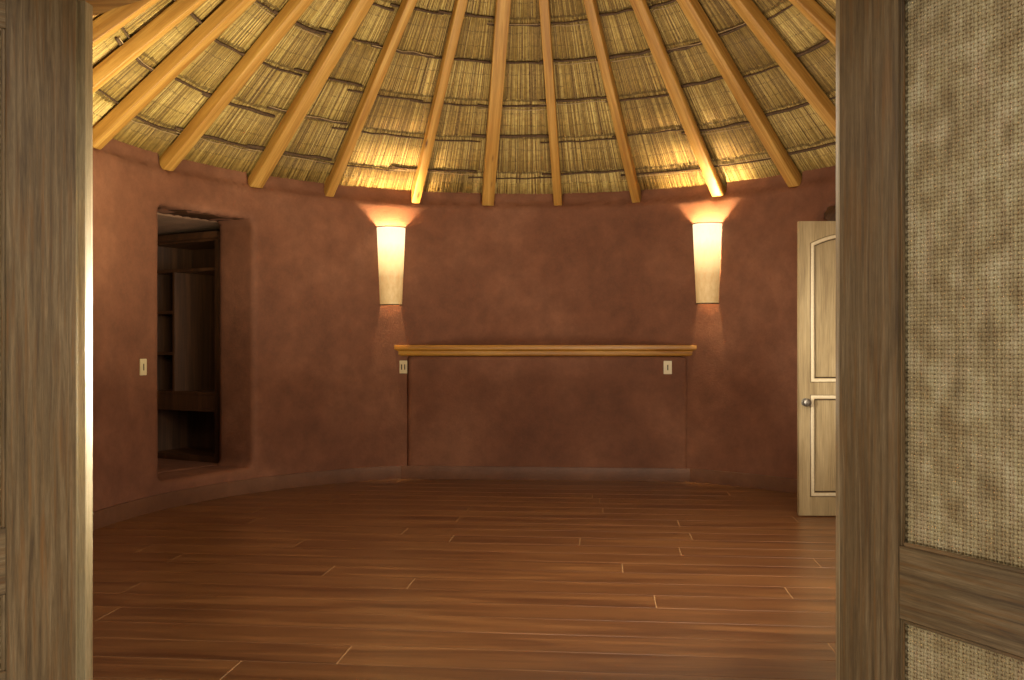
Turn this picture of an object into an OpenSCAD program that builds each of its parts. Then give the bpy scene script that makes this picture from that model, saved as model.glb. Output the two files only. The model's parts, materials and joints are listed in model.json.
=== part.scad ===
// Rondavel hut: a round adobe room under a conical reed-thatched roof.
// Millimetres. +Z is up, the origin is the centre of the room at ground level, and the
// entrance faces -Y. A bearing is an angle from +Y, clockwise seen from above.

/* [Ring wall] */
// Radius of the room to the inner face of the wall
inner_r = 2800; // [2600:50:3200]
// Thickness of the adobe wall
wall_t = 400; // [340:10:460]
// Adobe over the side door's lintel, up to the top of the wall
wall_cover = 206; // [170:2:240]

/* [Base and floor] */
// Height of the floor above the ground
floor_z = 150; // [100:10:300]
// Thickness of the floor planks
plank_t = 25; // [18:1:40]
// Height of the skirting
skirting_h = 115; // [80:5:180]
// Thickness of the skirting
skirting_t = 18; // [10:1:30]

/* [Roof timbers] */
// Pitch of the roof above the wall
pitch = 42; // [38:1:46]
// Depth of a rafter, square to the slope
rafter_d = 85; // [70:5:120]
// Diameter of the one rafter left as a round pole
pole_d = 110; // [90:5:120]
// Radius at which the rafters meet the crown ring
crown_r = 450; // [450:10:600]
// Breadth of the crown ring's timber
crown_t = 120; // [80:10:200]
// Pitch of the eaves pieces that kick the roof out over the wall
eaves_pitch = 14; // [12:1:18]
// Reach of the eaves pieces past the wall
eaves_over = 320; // [300:20:460]
// Depth of an eaves piece, square to its slope
eaves_d = 60; // [50:5:80]
// Width of an eaves piece
eaves_w = 70; // [50:5:75]
// Diameter of the round battens
batten_d = 22; // [16:1:30]
// Distance from the wall in to the lowest batten of the room
batten_in = 145; // [110:5:200]
// Step in radius from one batten to the next
batten_step = 280; // [240:10:320]

/* [Thatch] */
// Thickness of the thatch, square to the slope
thatch_t = 230; // [160:10:280]
// Reach of the thatch past the eaves pieces
thatch_over = 80; // [40:10:120]
// Number of lanes that the thatch is laid in
lane_count = 24; // [18:1:30]
// Joint between neighbouring lanes, in degrees
lane_joint = 0.06; // [0.04:0.01:0.1]
// Radius of the cap's core, around which the lanes end
core_r = 150; // [120:10:200]
// Radius of the cap over the peak
cap_r = 620; // [500:10:800]
// Thickness of the cap
cap_t = 70; // [50:5:100]

/* [Entrance] */
// Clear width between the door stops
entrance_w = 2420; // [2200:10:2450]
// Clear height under the frame head
entrance_h = 2330; // [2200:10:2350]
// Distance that the frame stands out past the wall's outer chord
entrance_out = 58; // [40:2:70]
// Face width of the frame's posts
post_w = 70; // [60:5:90]
// Depth of the frame
post_d = 100; // [90:5:120]
// Height of the frame head, which carries the roof plate
head_h = 100; // [90:5:120]
// Length of the head's horn in the wall at each end
horn = 150; // [120:10:200]
// Least height of the ring plate over the head
plate_h = 50; // [40:5:60]
// Depth of the rebate that a leaf closes into
rebate = 25; // [20:1:35]
// Splay of the reveals on each side
splay = 32; // [28:1:36]
// Thickness of a leaf
leaf_t = 45; // [38:1:50]
// Width of a leaf's stiles
stile_w = 217; // [160:5:240]
// Height of the leaf's bottom and top rails
rail_h = 200; // [150:5:240]
// Height of the middle rail above the floor
mid_rail_z = 440; // [400:10:600]
// Thickness of the woven panels
woven_t = 12; // [8:1:18]
// Angle at which the leaves stand open
leaf_open = 122; // [90:1:150]
// Height of a leaf's lowest hinge above the floor
low_hinge = 190; // [150:10:260]
// Height of a leaf's middle hinge above the floor
mid_hinge = 880; // [800:10:1100]
// Distance of a leaf's top hinge below the top of the leaf
top_hinge = 299; // [200:1:320]
// Height of an entrance hinge
hinge_h = 170; // [120:5:200]

/* [Side door] */
// Bearing of the side door
side_bearing = 62.6; // [60:0.2:66]
// Width of its leaf
side_w = 780; // [700:10:820]
// Height of its leaf
side_h = 2050; // [1960:10:2060]
// Thickness of its leaf
side_t = 42; // [36:1:50]
// Face width of its frame
side_post_w = 60; // [50:5:80]
// Depth of its frame
side_post_d = 120; // [90:5:160]
// Height of its frame head
side_head_h = 90; // [70:5:100]
// Angle at which its leaf stands open
side_open = 68; // [60:1:90]
// Distance of its hinges from the foot and the top of the leaf
side_hinge_in = 255; // [200:5:320]
// Height of one of its hinges
side_hinge_h = 110; // [80:5:140]
// Height of its knobs above the foot of the leaf
knob_h = 790; // [750:5:1000]
// Width of its stiles and top rail
side_stile = 80; // [70:5:110]
// Height of its bottom rail
side_bottom_rail = 137; // [110:1:200]
// Height of its lower panel
side_low_panel = 700; // [600:10:800]
// Height of its middle rail
side_mid_rail = 95; // [80:5:140]
// Rise of the arch over its upper panel
side_arch = 75; // [50:5:100]
// Depth of the sunk panels
panel_cut = 12; // [8:1:14]
// Width of the moulding around a panel
mould_w = 30; // [24:1:36]
// Height that the moulding stands above the leaf's face
mould_out = 6; // [4:1:8]

/* [Lintels] */
// Height of the lintels over the side door, the windows and the niche
lintel_h = 120; // [90:5:140]
// Length of a lintel that rests on the wall at each end
lintel_seat = 100; // [80:10:140]
// Plaster in front of the lintels over the windows and the niche
lintel_cover = 40; // [30:5:60]

/* [Windows] */
// Bearing of the windows, one on each side
window_bearing = 104; // [102:1:108]
// Width of the window openings
window_w = 880; // [700:10:960]
// Sill of the windows above the floor
window_sill = 900; // [800:10:1000]
// Head of the windows above the floor
window_head = 2100; // [1900:10:2150]
// Face width of a window frame
window_frame_w = 60; // [45:5:80]
// Depth of a window frame
window_frame_d = 80; // [60:5:100]

/* [Closet bay] */
// Bearing of the wall niche that opens into the bay
niche_bearing = -66.3; // [-68:0.1:-64]
// Width of the niche
niche_w = 948; // [880:4:1000]
// Sill of the niche above the floor
niche_sill = 200; // [150:10:260]
// Head of the niche above the floor
niche_head = 2220; // [2180:10:2230]
// Depth of the bay behind the wall
bay_depth = 900; // [850:10:950]
// Reach of the bay past the niche on the near side
bay_near = 90; // [60:5:120]
// Reach of the bay past the niche on the far side, where the shelves stand
bay_far = 576; // [540:4:600]
// Thickness of the bay's walls
bay_wall_t = 150; // [120:10:200]
// Thickness of the bay's roof
bay_roof_t = 90; // [70:5:100]
// Fall of the bay's roof
bay_fall = 70; // [50:5:90]
// Thickness of the shelf unit's boards
board_t = 25; // [18:1:30]
// Width of the shelf unit's stiles
unit_stile = 35; // [30:1:45]
// Distance of the unit's front behind the niche's jamb
unit_back = 76; // [60:2:90]
// Width of the unit's hanging space
hanging_w = 485; // [460:5:500]
// Gap between the shelf unit's cornice and the bay's ceiling, at the back wall
unit_clear = 13; // [8:1:40]
// Heights of the unit's upper shelf, two short shelves and drawer, above the room's floor
unit_shelves = [1830, 1470, 1110, 770];
// Height of the drawer
drawer_h = 140; // [120:5:160]

/* [Fittings] */
// Height of the wall lights above the floor
light_z = 1555; // [1450:5:1650]
// Height of a wall light's shade
light_h = 690; // [600:10:750]
// Radius of the shade at its top
light_top_r = 130; // [110:5:150]
// Radius of the shade at its foot
light_foot_r = 100; // [80:5:120]
// Bearings of the two wall lights
light_bearings = [-30.2, 29.7];
// Top of the ledge over the knee wall, above the floor
ledge_top = 1197; // [1150:1:1250]
// Height of the ledge's moulded front
ledge_h = 98; // [80:1:120]
// Reach of the ledge past the knee wall's face
ledge_out = 30; // [20:1:45]
// Bearing of the middle of the knee wall
knee_bearing = -1;
// Angle from the middle of the ledge to its ends
knee_half = 28.6; // [26:0.2:30]

/* [Hidden] */
$fn = 240;

outer_r = inner_r + wall_t;
base_h = floor_z - plank_t;
eaves_r = outer_r + eaves_over;
batten_r = inner_r - batten_in;

// Gap around a closed leaf, and between a leaf and its stop
leaf_gap = 6;
// Gap under a leaf
floor_gap = 8;
// Gap between solids that rest on or fit into one another
seat_gap = 0.3;

// Height of the wall: over the entrance's frame or the side door's lintel, whichever is more
side_lintel_top = floor_gap + side_h + leaf_gap + side_head_h + lintel_h;
wall_h = max(entrance_h + head_h + plate_h, side_lintel_top + wall_cover);
wall_top = floor_z + wall_h;
// The same gap between two stretches of the wall, as an angle
wall_joint = atan(seat_gap / inner_r);

// Each rafter's drift from even spacing, in degrees, and its width; 0 is the round pole
timbers = [
    [-0.6, 75], [-0.9, 75], [-0.6, 0], [-1, 100], [-1, 100], [0.5, 75],
    [-0.5, 100], [1, 75], [0, 100], [-1, 75], [0.5, 100], [0, 75],
    [-0.5, 100], [0.5, 75], [-1, 100], [1, 75], [0.5, 100], [-0.5, 75],
    [-2.4, 110], [-0.9, 100], [2, 115], [1.2, 75], [2.6, 75], [1.2, 110]
];
first_timber = 2;
rafter_count = len(timbers);
function timber_bearing(i) = first_timber + i * 360 / rafter_count + timbers[i][0];
function timber_width(i) = timbers[i][1] == 0 ? pole_d : timbers[i][1];
widest_timber = max([for (i = [0 : rafter_count - 1]) timber_width(i)]);

// Height of the roof's layers at radius r: the underside of the rafters, and the same line
// raised by a depth that is square to the slope
function slope_z(r, depth) = wall_top + (inner_r - r) * tan(pitch) + depth / cos(pitch);
function kick_z(r, depth) = wall_top + (outer_r - r) * tan(eaves_pitch) + depth / cos(eaves_pitch);
// Radius at which the two slopes meet at those depths
function meet_r(depth, kick_depth) =
    (outer_r * tan(eaves_pitch) - inner_r * tan(pitch)
        + kick_depth / cos(eaves_pitch) - depth / cos(pitch)) / (tan(eaves_pitch) - tan(pitch));

thatch_in = rafter_d + batten_d;
thatch_in_kick = eaves_d + batten_d;

// Entrance: half widths to the door stops, the rebates and the posts' outer faces
stop_x = entrance_w / 2;
rebate_x = stop_x + rebate;
post_x = rebate_x + post_w;
leaf_w = rebate_x - leaf_gap - leaf_gap / 2;
leaf_top = floor_z + entrance_h - leaf_gap + rebate;
leaf_bottom = floor_z + floor_gap;
splay_x = stop_x + (post_d + 10) * tan(splay);
head_z = floor_z + entrance_h;
entrance_y = sqrt(pow(outer_r, 2) - pow(post_x, 2)) + entrance_out;
plate_z = head_z + head_h;
plate_r = inner_r + rafter_d;
plate_bearing = asin((post_x + horn) / outer_r) + 6;

// Hinges: a knuckle on the face side of the joint between leaf and frame
knuckle_r = 8.5;
pin_r = 4.5;
pin_gap = 0.25;
plate_t = 2.5;
plate_w = 34;
entrance_pin_x = rebate_x - leaf_gap / 2;
entrance_pin_y = entrance_y + knuckle_r + 0.5;
entrance_hinges = [floor_z + low_hinge, floor_z + mid_hinge, leaf_top - top_hinge];

// Side door, in its own frame: +Y runs out through the wall, +X to the hinge side
side_x = side_w / 2 + leaf_gap;
side_post_x = side_x + side_post_w;
side_y = sqrt(pow(inner_r, 2) - pow(side_post_x, 2)) - 3;
side_head_z = floor_z + floor_gap + side_h + leaf_gap;
side_lintel_z = side_head_z + side_head_h;
side_pin_x = side_w / 2 + leaf_gap / 2;
side_pin_y = side_y - knuckle_r - 0.5;
side_hinges = [leaf_bottom + side_hinge_in, leaf_bottom + side_h - side_hinge_in];
side_stop = 14;

// Closet bay, in the niche's own frame: +Y runs out through the wall
bay_low_x = -niche_w / 2 - bay_near;
bay_high_x = niche_w / 2 + bay_far;
bay_y = outer_r + bay_depth;
bay_head = floor_z + niche_head + 10;
bay_roof_y = outer_r - wall_t / 2;
bay_eaves = 50;
unit_x = niche_w / 2 + unit_back;
unit_y = outer_r + 50;

// Knee wall behind the bed, in its own frame: its ledge's front and its face
ledge_y = inner_r * cos(knee_half);
knee_y = ledge_y + ledge_out;
knee_top = floor_z + ledge_top - ledge_h;

module at_bearing(b) {
    rotate([0, 0, -b]) children();
}

// A profile in radius and height, spun from bearing a to bearing b
module spun(a, b) {
    rotate([0, 0, 90 - b]) rotate_extrude(angle = b - a) children();
}

module ring_block(r1, r2, z1, z2, a, b) {
    spun(a, b) translate([r1, z1]) square([r2 - r1, z2 - z1]);
}

// A profile in radius and height, set upright on a bearing with width w
module upright(w, b) {
    rotate([0, 0, 90 - b]) rotate([90, 0, 0]) translate([0, 0, -w / 2]) linear_extrude(w) children();
}

// A straight-sided hole through the ring on a bearing
module hole_block(b, w, z1, z2) {
    at_bearing(b) translate([-w / 2, inner_r - 300, z1]) cube([w, wall_t + 600, z2 - z1]);
}

// Plan of the entrance: the frame's slot outside, the splayed reveals inside, widened by grow
module entrance_plan(grow) {
    back_y = entrance_y - post_d - grow;
    reach = wall_t * 2.5;
    slot_x = post_x + grow;
    jamb_x = splay_x + grow;
    polygon([
        [-slot_x, -outer_r - 100], [-slot_x, -back_y], [-jamb_x, -back_y],
        [-jamb_x - reach * tan(splay), -back_y + reach], [jamb_x + reach * tan(splay), -back_y + reach],
        [jamb_x, -back_y], [slot_x, -back_y], [slot_x, -outer_r - 100]
    ]);
}

module entrance_cut() {
    horn_x = post_x + horn + seat_gap;
    plate_end = plate_bearing + wall_joint;
    translate([0, 0, base_h]) linear_extrude(wall_h + floor_z) entrance_plan(seat_gap);
    // Pockets for the ends of the frame head and of the roof plate
    translate([-horn_x, -entrance_y - seat_gap, head_z - seat_gap])
        cube([2 * horn_x, post_d + 2 * seat_gap, head_h + 2 * seat_gap]);
    ring_block(plate_r - seat_gap, outer_r + 1, plate_z, wall_top + 1, 180 - plate_end, 180 + plate_end);
}

// Lintels: one over the side door's head, and one in the wall over each window and the niche
module lintel(b, w, z, y, depth, grow) {
    half = w / 2 + lintel_seat + grow;
    at_bearing(b) translate([-half, y - grow, z - grow])
        cube([2 * half, depth + 2 * grow, lintel_h + 2 * grow]);
}

module covered_lintel(b, w, z, grow) {
    y = inner_r + lintel_cover;
    outer_chord = sqrt(pow(outer_r, 2) - pow(w / 2 + lintel_seat, 2));
    lintel(b, w, z, y, outer_chord - lintel_cover / 2 - y, grow);
}

module lintels(grow = 0) {
    color("#4a3422") {
        lintel(side_bearing, 2 * side_post_x, side_lintel_z + seat_gap, side_y, side_post_d * 1.5, grow);
        for (b = [-window_bearing, window_bearing]) covered_lintel(b, window_w, floor_z + window_head, grow);
        covered_lintel(niche_bearing, niche_w, floor_z + niche_head, grow);
    }
}

module ring_wall(a, b) {
    color("#6d4a38") difference() {
        ring_block(
            inner_r, outer_r, base_h + seat_gap, wall_top - seat_gap, a + wall_joint / 2, b - wall_joint / 2);
        entrance_cut();
        lintels(seat_gap);
        for (hole = [
            [side_bearing, 2 * side_post_x], [window_bearing, window_w],
            [-window_bearing, window_w], [niche_bearing, niche_w]
        ])
            hole_block(hole[0], hole[1] + 2 * seat_gap, 0, wall_top + 1);
    }
}

// The piece of ring between two heights in an opening
module ring_infill(b, w, z1, z2) {
    color("#6d4a38") difference() {
        intersection() {
            ring_block(inner_r, outer_r, z1, z2, b - 20, b + 20);
            hole_block(b, w, z1 - 1, z2 + 1);
        }
        lintels(seat_gap);
    }
}

module wall_back_left() { ring_wall(niche_bearing, -30); }
module wall_back_centre_left() { ring_wall(-30, 0); }
module wall_back_centre_right() { ring_wall(0, 30); }
module wall_back_right() { ring_wall(30, side_bearing); }
module wall_right() { ring_wall(side_bearing, window_bearing); }
module wall_front_right() { ring_wall(window_bearing, 180); }
module wall_front_left() { ring_wall(-180, -window_bearing); }
module wall_left() { ring_wall(-window_bearing, niche_bearing); }

module walls_at_openings() {
    low = base_h + seat_gap;
    high = wall_top - seat_gap;
    ring_infill(side_bearing, 2 * side_post_x, side_lintel_z, high);
    for (b = [-window_bearing, window_bearing]) {
        ring_infill(b, window_w, floor_z + window_head, high);
        ring_infill(b, window_w, low, floor_z + window_sill);
    }
    ring_infill(niche_bearing, niche_w, floor_z + niche_head, high);
    ring_infill(niche_bearing, niche_w, low, floor_z + niche_sill);
}

module foundation() {
    color("#8a7a68") linear_extrude(base_h) {
        circle(outer_r);
        translate([-post_x, -entrance_y - 40]) square([2 * post_x, entrance_y]);
        at_bearing(niche_bearing)
            translate([bay_low_x - bay_wall_t, 0])
                square([bay_high_x - bay_low_x + 2 * bay_wall_t, bay_y + bay_wall_t]);
    }
}

module plank_floor() {
    color("#6e4526") translate([0, 0, base_h + seat_gap]) linear_extrude(plank_t - seat_gap) {
        circle(inner_r - seat_gap);
        intersection() {
            circle(outer_r);
            entrance_plan(-seat_gap);
            translate([-inner_r, post_d - entrance_y + seat_gap]) square([2 * inner_r, wall_t * 2]);
        }
        intersection() {
            circle(outer_r);
            at_bearing(side_bearing) translate([-side_post_x, 0]) square([2 * side_post_x, outer_r]);
        }
    }
}

module threshold() {
    color("#7a5230") translate([-post_x, -entrance_y - 10, base_h + seat_gap])
        cube([2 * post_x, post_d + 10, plank_t - seat_gap]);
}

module skirting() {
    low = floor_z + seat_gap;
    color("#6a4636") {
        difference() {
            ring_block(
                inner_r - skirting_t, inner_r - seat_gap, low, floor_z + skirting_h, -180, 180, $fn = 3 * $fn);
            entrance_cut();
            hole_block(side_bearing, 2 * side_post_x, 0, wall_top);
            at_bearing(knee_bearing) translate([-inner_r, knee_y - skirting_t - seat_gap, 0])
                cube([2 * inner_r, inner_r, wall_top]);
        }
        intersection() {
            at_bearing(knee_bearing) translate([-inner_r, knee_y - skirting_t, low])
                cube([2 * inner_r, skirting_t - seat_gap, skirting_h - seat_gap]);
            knee_back();
        }
    }
}

// Entrance frame: posts rebated for the leaves, and a head with horns in the wall
module entrance_rebate() {
    translate([-rebate_x, -entrance_y - 1, floor_z - 1])
        cube([2 * rebate_x, leaf_t + leaf_gap + 1, entrance_h + rebate + 1]);
}

module entrance_posts() {
    color("#6b5a40") difference() {
        for (s = [-1, 1]) translate([s > 0 ? stop_x : -post_x, -entrance_y, floor_z])
            cube([post_x - stop_x, post_d, entrance_h - seat_gap]);
        entrance_rebate();
    }
}

module entrance_head() {
    color("#6b5a40") difference() {
        translate([-post_x - horn, -entrance_y, head_z]) cube([2 * (post_x + horn), post_d, head_h]);
        entrance_rebate();
    }
}

module entrance_plate() {
    color("#8a6338")
        ring_block(
            plate_r, outer_r, plate_z + seat_gap, wall_top - seat_gap, 180 - plate_bearing, 180 + plate_bearing);
}

// Turns a closed entrance leaf about its pin to where it stands; side is 1 for the right one
module open_leaf(side) {
    translate([side * entrance_pin_x, -entrance_pin_y, 0])
        rotate([0, 0, side * leaf_open])
            translate([-side * entrance_pin_x, entrance_pin_y, 0]) children();
}

// A closed right leaf's board between two heights, inset from its outline
module leaf_board(inset, z1, z2, thickness, back) {
    translate([leaf_gap / 2 + inset, -entrance_y + back, z1])
        cube([leaf_w - 2 * inset, thickness, z2 - z1]);
}

module leaf_frame() {
    difference() {
        leaf_board(0, leaf_bottom, leaf_top, leaf_t, 0);
        leaf_board(stile_w, leaf_bottom + rail_h, floor_z + mid_rail_z, leaf_t + 2, -1);
        leaf_board(stile_w, floor_z + mid_rail_z + rail_h, leaf_top - rail_h, leaf_t + 2, -1);
    }
}

module leaf_panels() {
    inset = stile_w + seat_gap;
    back = (leaf_t - woven_t) / 2;
    for (heights = [
        [leaf_bottom + rail_h, floor_z + mid_rail_z], [floor_z + mid_rail_z + rail_h, leaf_top - rail_h]
    ])
        leaf_board(inset, heights[0] + seat_gap, heights[1] - seat_gap, woven_t, back);
}

// The leaf's half of each hinge: a plate and the middle knuckle. The pin stands at x, y, and
// the plate lies on the leaf's edge at edge_x
module hinge_leaf_half(x, y, z, h, edge_x) {
    third = h / 3;
    difference() {
        union() {
            translate([edge_x, y, z - h / 2]) cube([plate_t, plate_w + knuckle_r, h]);
            translate([x, y, z - third / 2 + seat_gap])
                cylinder(r = knuckle_r, h = third - 2 * seat_gap, $fn = 32);
        }
        translate([x, y, z - h / 2 - 1]) cylinder(r = pin_r + pin_gap, h = h + 2, $fn = 32);
        for (low = [z - h / 2 - 1, z + third / 2]) translate([x, y, low])
            cylinder(r = knuckle_r + seat_gap, h = third + 1, $fn = 32);
    }
}

// The frame's half: a plate, the outer knuckles and the pin
module hinge_frame_half(x, y, z, h, edge_x) {
    third = h / 3;
    difference() {
        union() {
            translate([edge_x - plate_t, y, z - h / 2]) cube([plate_t, plate_w + knuckle_r, h]);
            for (s = [-1, 1]) translate([x, y, z + s * third - third / 2])
                cylinder(r = knuckle_r, h = third, $fn = 32);
        }
        translate([x, y, z - third / 2]) cylinder(r = knuckle_r + seat_gap, h = third, $fn = 32);
    }
    translate([x, y, z - h / 2]) cylinder(r = pin_r, h = h, $fn = 32);
}

module entrance_hinge_leaf_halves() {
    for (z = entrance_hinges)
        hinge_leaf_half(entrance_pin_x, -entrance_pin_y, z, hinge_h, rebate_x - leaf_gap);
}

module right_leaf() { color("#6a5840") open_leaf(1) leaf_frame(); }
module right_leaf_panels() { color("#b09870") open_leaf(1) leaf_panels(); }
module right_leaf_hinges() { color("#c8b48c") open_leaf(1) entrance_hinge_leaf_halves(); }
module left_leaf() { color("#6a5840") open_leaf(-1) mirror([1, 0, 0]) leaf_frame(); }
module left_leaf_panels() { color("#b09870") open_leaf(-1) mirror([1, 0, 0]) leaf_panels(); }
module left_leaf_hinges() { color("#c8b48c") open_leaf(-1) mirror([1, 0, 0]) entrance_hinge_leaf_halves(); }

module hinge_pins() {
    color("#c8b48c") {
        for (s = [0, 1]) mirror([s, 0, 0]) for (z = entrance_hinges)
            hinge_frame_half(entrance_pin_x, -entrance_pin_y, z, hinge_h, rebate_x);
        at_bearing(side_bearing) for (z = side_hinges)
            hinge_frame_half(side_pin_x, side_pin_y, z, side_hinge_h, side_x);
    }
}

// Side door frame: rebated posts and head; the leaf closes against their stops
module side_door_rebate() {
    translate([-side_x, side_y - 1, floor_z - 1])
        cube([2 * side_x, side_t + leaf_gap + 1, side_head_z - floor_z + 1]);
    translate([-side_x + side_stop, side_y, floor_z - 1])
        cube([2 * (side_x - side_stop), side_post_d + 1, side_head_z - side_stop - floor_z + 1]);
}

module side_door_posts() {
    color("#5a4028") at_bearing(side_bearing) difference() {
        for (x = [-side_post_x, side_x - side_stop]) translate([x, side_y, floor_z])
            cube([side_post_w + side_stop, side_post_d, side_head_z - side_stop - floor_z]);
        side_door_rebate();
    }
}

module side_door_head() {
    color("#5a4028") at_bearing(side_bearing) difference() {
        translate([-side_post_x, side_y, side_head_z - side_stop])
            cube([2 * side_post_x, side_post_d, side_head_h + side_stop]);
        side_door_rebate();
    }
}

module open_side_leaf() {
    at_bearing(side_bearing)
        translate([side_pin_x, side_pin_y, 0]) rotate([0, 0, side_open]) translate([-side_pin_x, -side_pin_y, 0])
            children();
}

// Outline of a door panel, with a segmental arch of the given rise on top
function arch_points(w, h, rise, steps = 16) =
    let (radius = (w * w / 4 + rise * rise) / (2 * rise), half = asin(w / 2 / radius))
    concat([[-w / 2, 0], [w / 2, 0]],
        [for (i = [0 : steps]) let (a = half - 2 * half * i / steps)
            [radius * sin(a), h - radius + radius * cos(a)]]);

module panel_outline(grow) {
    low = side_bottom_rail - grow;
    high = side_bottom_rail + side_low_panel + side_mid_rail - grow;
    width = side_w - 2 * side_stile + 2 * grow;
    translate([-width / 2, low]) square([width, side_low_panel + 2 * grow]);
    translate([0, high])
        polygon(arch_points(width, side_h - side_stile - high + grow, side_arch));
}

// The moulding around both panels of one face: a high bead outside and a low step inside
module panel_moulding() {
    for (ring = [[0, mould_w * 0.6, mould_out], [mould_w * 0.6, mould_w, -panel_cut * 0.4]])
        translate([0, 0, -panel_cut]) linear_extrude(panel_cut + ring[2]) difference() {
            panel_outline(-ring[0]);
            panel_outline(-ring[1]);
        }
}

module side_door_leaf() {
    color("#a08c66") open_side_leaf() translate([0, side_y, leaf_bottom]) {
        difference() {
            translate([-side_w / 2, 0, 0]) cube([side_w, side_t, side_h]);
            for (y = [panel_cut, side_t + 1]) translate([0, y, 0])
                rotate([90, 0, 0]) linear_extrude(panel_cut + 1) panel_outline(0);
        }
        rotate([90, 0, 0]) panel_moulding();
        translate([0, side_t, 0]) mirror([0, 1, 0]) rotate([90, 0, 0]) panel_moulding();
    }
}

module side_door_knobs() {
    knob_profile = [[0, 0], [28, 0], [28, 6], [10, 8], [9, 28], [16, 32], [27, 42], [29, 52], [25, 62], [14, 69], [0, 71]];
    knob_z = leaf_bottom + knob_h;
    color("#8d8a84") open_side_leaf() translate([-side_w / 2 + 42, side_y, knob_z]) {
        rotate([90, 0, 0]) rotate_extrude($fn = 48) polygon(knob_profile);
        translate([0, side_t, 0]) rotate([-90, 0, 0]) rotate_extrude($fn = 48) polygon(knob_profile);
    }
}

module side_door_hinges() {
    color("#6b665c") open_side_leaf() for (z = side_hinges)
        hinge_leaf_half(side_pin_x, side_pin_y, z, side_hinge_h, side_w / 2);
}

module window_frame(b) {
    y = outer_r - wall_t / 2;
    low = floor_z + window_sill;
    high = floor_z + window_head;
    inner_w = window_w - 2 * window_frame_w;
    color("#6b5a40") at_bearing(b) difference() {
        translate([-window_w / 2, y, low + seat_gap])
            cube([window_w, window_frame_d, high - low - 2 * seat_gap]);
        for (s = [0, 1]) translate([s == 0 ? -inner_w / 2 : window_frame_w / 2, y - 1, low + window_frame_w])
            cube([(inner_w - window_frame_w) / 2, window_frame_d + 2, high - low - 2 * window_frame_w]);
    }
}

module window_pane(b) {
    y = outer_r - wall_t / 2 + window_frame_d / 2;
    low = floor_z + window_sill + window_frame_w;
    high = floor_z + window_head - window_frame_w;
    inner_w = window_w - 2 * window_frame_w;
    color([0.7, 0.8, 0.85, 0.4]) at_bearing(b)
        for (s = [0, 1]) translate([s == 0 ? -inner_w / 2 : window_frame_w / 2, y - 2, low])
            cube([(inner_w - window_frame_w) / 2, 4, high - low]);
}

module window_frames() {
    window_frame(-window_bearing);
    window_frame(window_bearing);
}

module window_glass() {
    window_pane(-window_bearing);
    window_pane(window_bearing);
}

// The bay's inside, from the ring outwards, with its floor and falling ceiling
function bay_roof_z(y) = bay_head - bay_fall * (y - bay_roof_y) / (bay_y + bay_wall_t - bay_roof_y);

module bay_section(z, grow) {
    polygon([
        [inner_r, z], [bay_y + grow, z], [bay_y + grow, bay_roof_z(bay_y + grow) - seat_gap],
        [bay_roof_y, bay_head - seat_gap], [inner_r, bay_head - seat_gap]
    ]);
}

// The bay's inside or outside, with its walls moved out by grow
module bay_solid(z, grow) {
    difference() {
        at_bearing(niche_bearing) rotate([90, 0, 90]) translate([0, 0, bay_low_x - grow])
            linear_extrude(bay_high_x - bay_low_x + 2 * grow) bay_section(z, grow);
        cylinder(r = outer_r + seat_gap, h = wall_top + wall_t);
    }
}

module closet_floor() {
    color("#6d4a38") intersection() {
        bay_solid(base_h + seat_gap, -seat_gap);
        cylinder(r = 2 * outer_r, h = floor_z + niche_sill);
    }
}

module closet_walls() {
    color("#6d4a38") difference() {
        bay_solid(base_h + seat_gap, bay_wall_t);
        at_bearing(niche_bearing) translate([bay_low_x, 0, 0])
            cube([bay_high_x - bay_low_x, bay_y, wall_top + wall_t]);
    }
}

module closet_roof() {
    x = bay_wall_t + bay_eaves;
    y = bay_y + bay_wall_t + bay_eaves;
    color("#8a6a50") difference() {
        at_bearing(niche_bearing) rotate([90, 0, 90]) translate([0, 0, bay_low_x - x])
            linear_extrude(bay_high_x - bay_low_x + 2 * x) polygon([
                [bay_roof_y, bay_head], [y, bay_roof_z(y)],
                [y, bay_roof_z(y) + bay_roof_t], [bay_roof_y, bay_head + bay_roof_t]
            ]);
        cylinder(r = outer_r + seat_gap, h = wall_top + wall_t);
    }
}

// Shelf unit on the bay's far side: it faces back across the niche, towards the entrance
module unit_space(y1, y2, z1, z2) {
    translate([unit_x - 1, y1, z1]) cube([bay_high_x - unit_x - board_t + 1, y2 - y1, z2 - z1]);
}

module closet_shelves() {
    low = floor_z + niche_sill + seat_gap;
    end = bay_y - seat_gap;
    high = bay_roof_z(end) - board_t - unit_clear;
    back = bay_high_x - seat_gap;
    shelf_z = [for (h = unit_shelves) floor_z + h];
    hang_y = unit_y + unit_stile;
    side_y1 = hang_y + hanging_w;
    inner_end = end - board_t;
    color("#3a2416") at_bearing(niche_bearing) difference() {
        union() {
            translate([unit_x, unit_y, low]) cube([back - unit_x, end - unit_y, high - low]);
            translate([0, end, high]) rotate([90, 0, 0]) linear_extrude(end - unit_y + board_t) polygon([
                [unit_x - board_t, -board_t], [unit_x + board_t, -2 * board_t], [unit_x + board_t, board_t],
                [unit_x - unit_stile, board_t], [unit_x - unit_stile, 0]
            ]);
        }
        unit_space(hang_y, inner_end, shelf_z[0] + board_t, high - 2 * board_t);
        unit_space(hang_y, side_y1, shelf_z[3] + board_t, shelf_z[0]);
        for (k = [0 : 2]) unit_space(side_y1 + board_t, inner_end, shelf_z[k + 1] + board_t, shelf_z[k]);
        unit_space(hang_y, inner_end, low + 2 * board_t, shelf_z[3] - drawer_h);
        for (z = [shelf_z[3] - drawer_h + board_t, shelf_z[3] - 6]) translate([unit_x - 1, hang_y, z])
            cube([7, inner_end - hang_y, 3]);
    }
}

// Knee wall: it fills the ring from its flat face to the round wall, up to the ledge
module knee_back() {
    cylinder(r = inner_r - seat_gap, h = wall_top, $fn = 3 * $fn);
}

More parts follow.
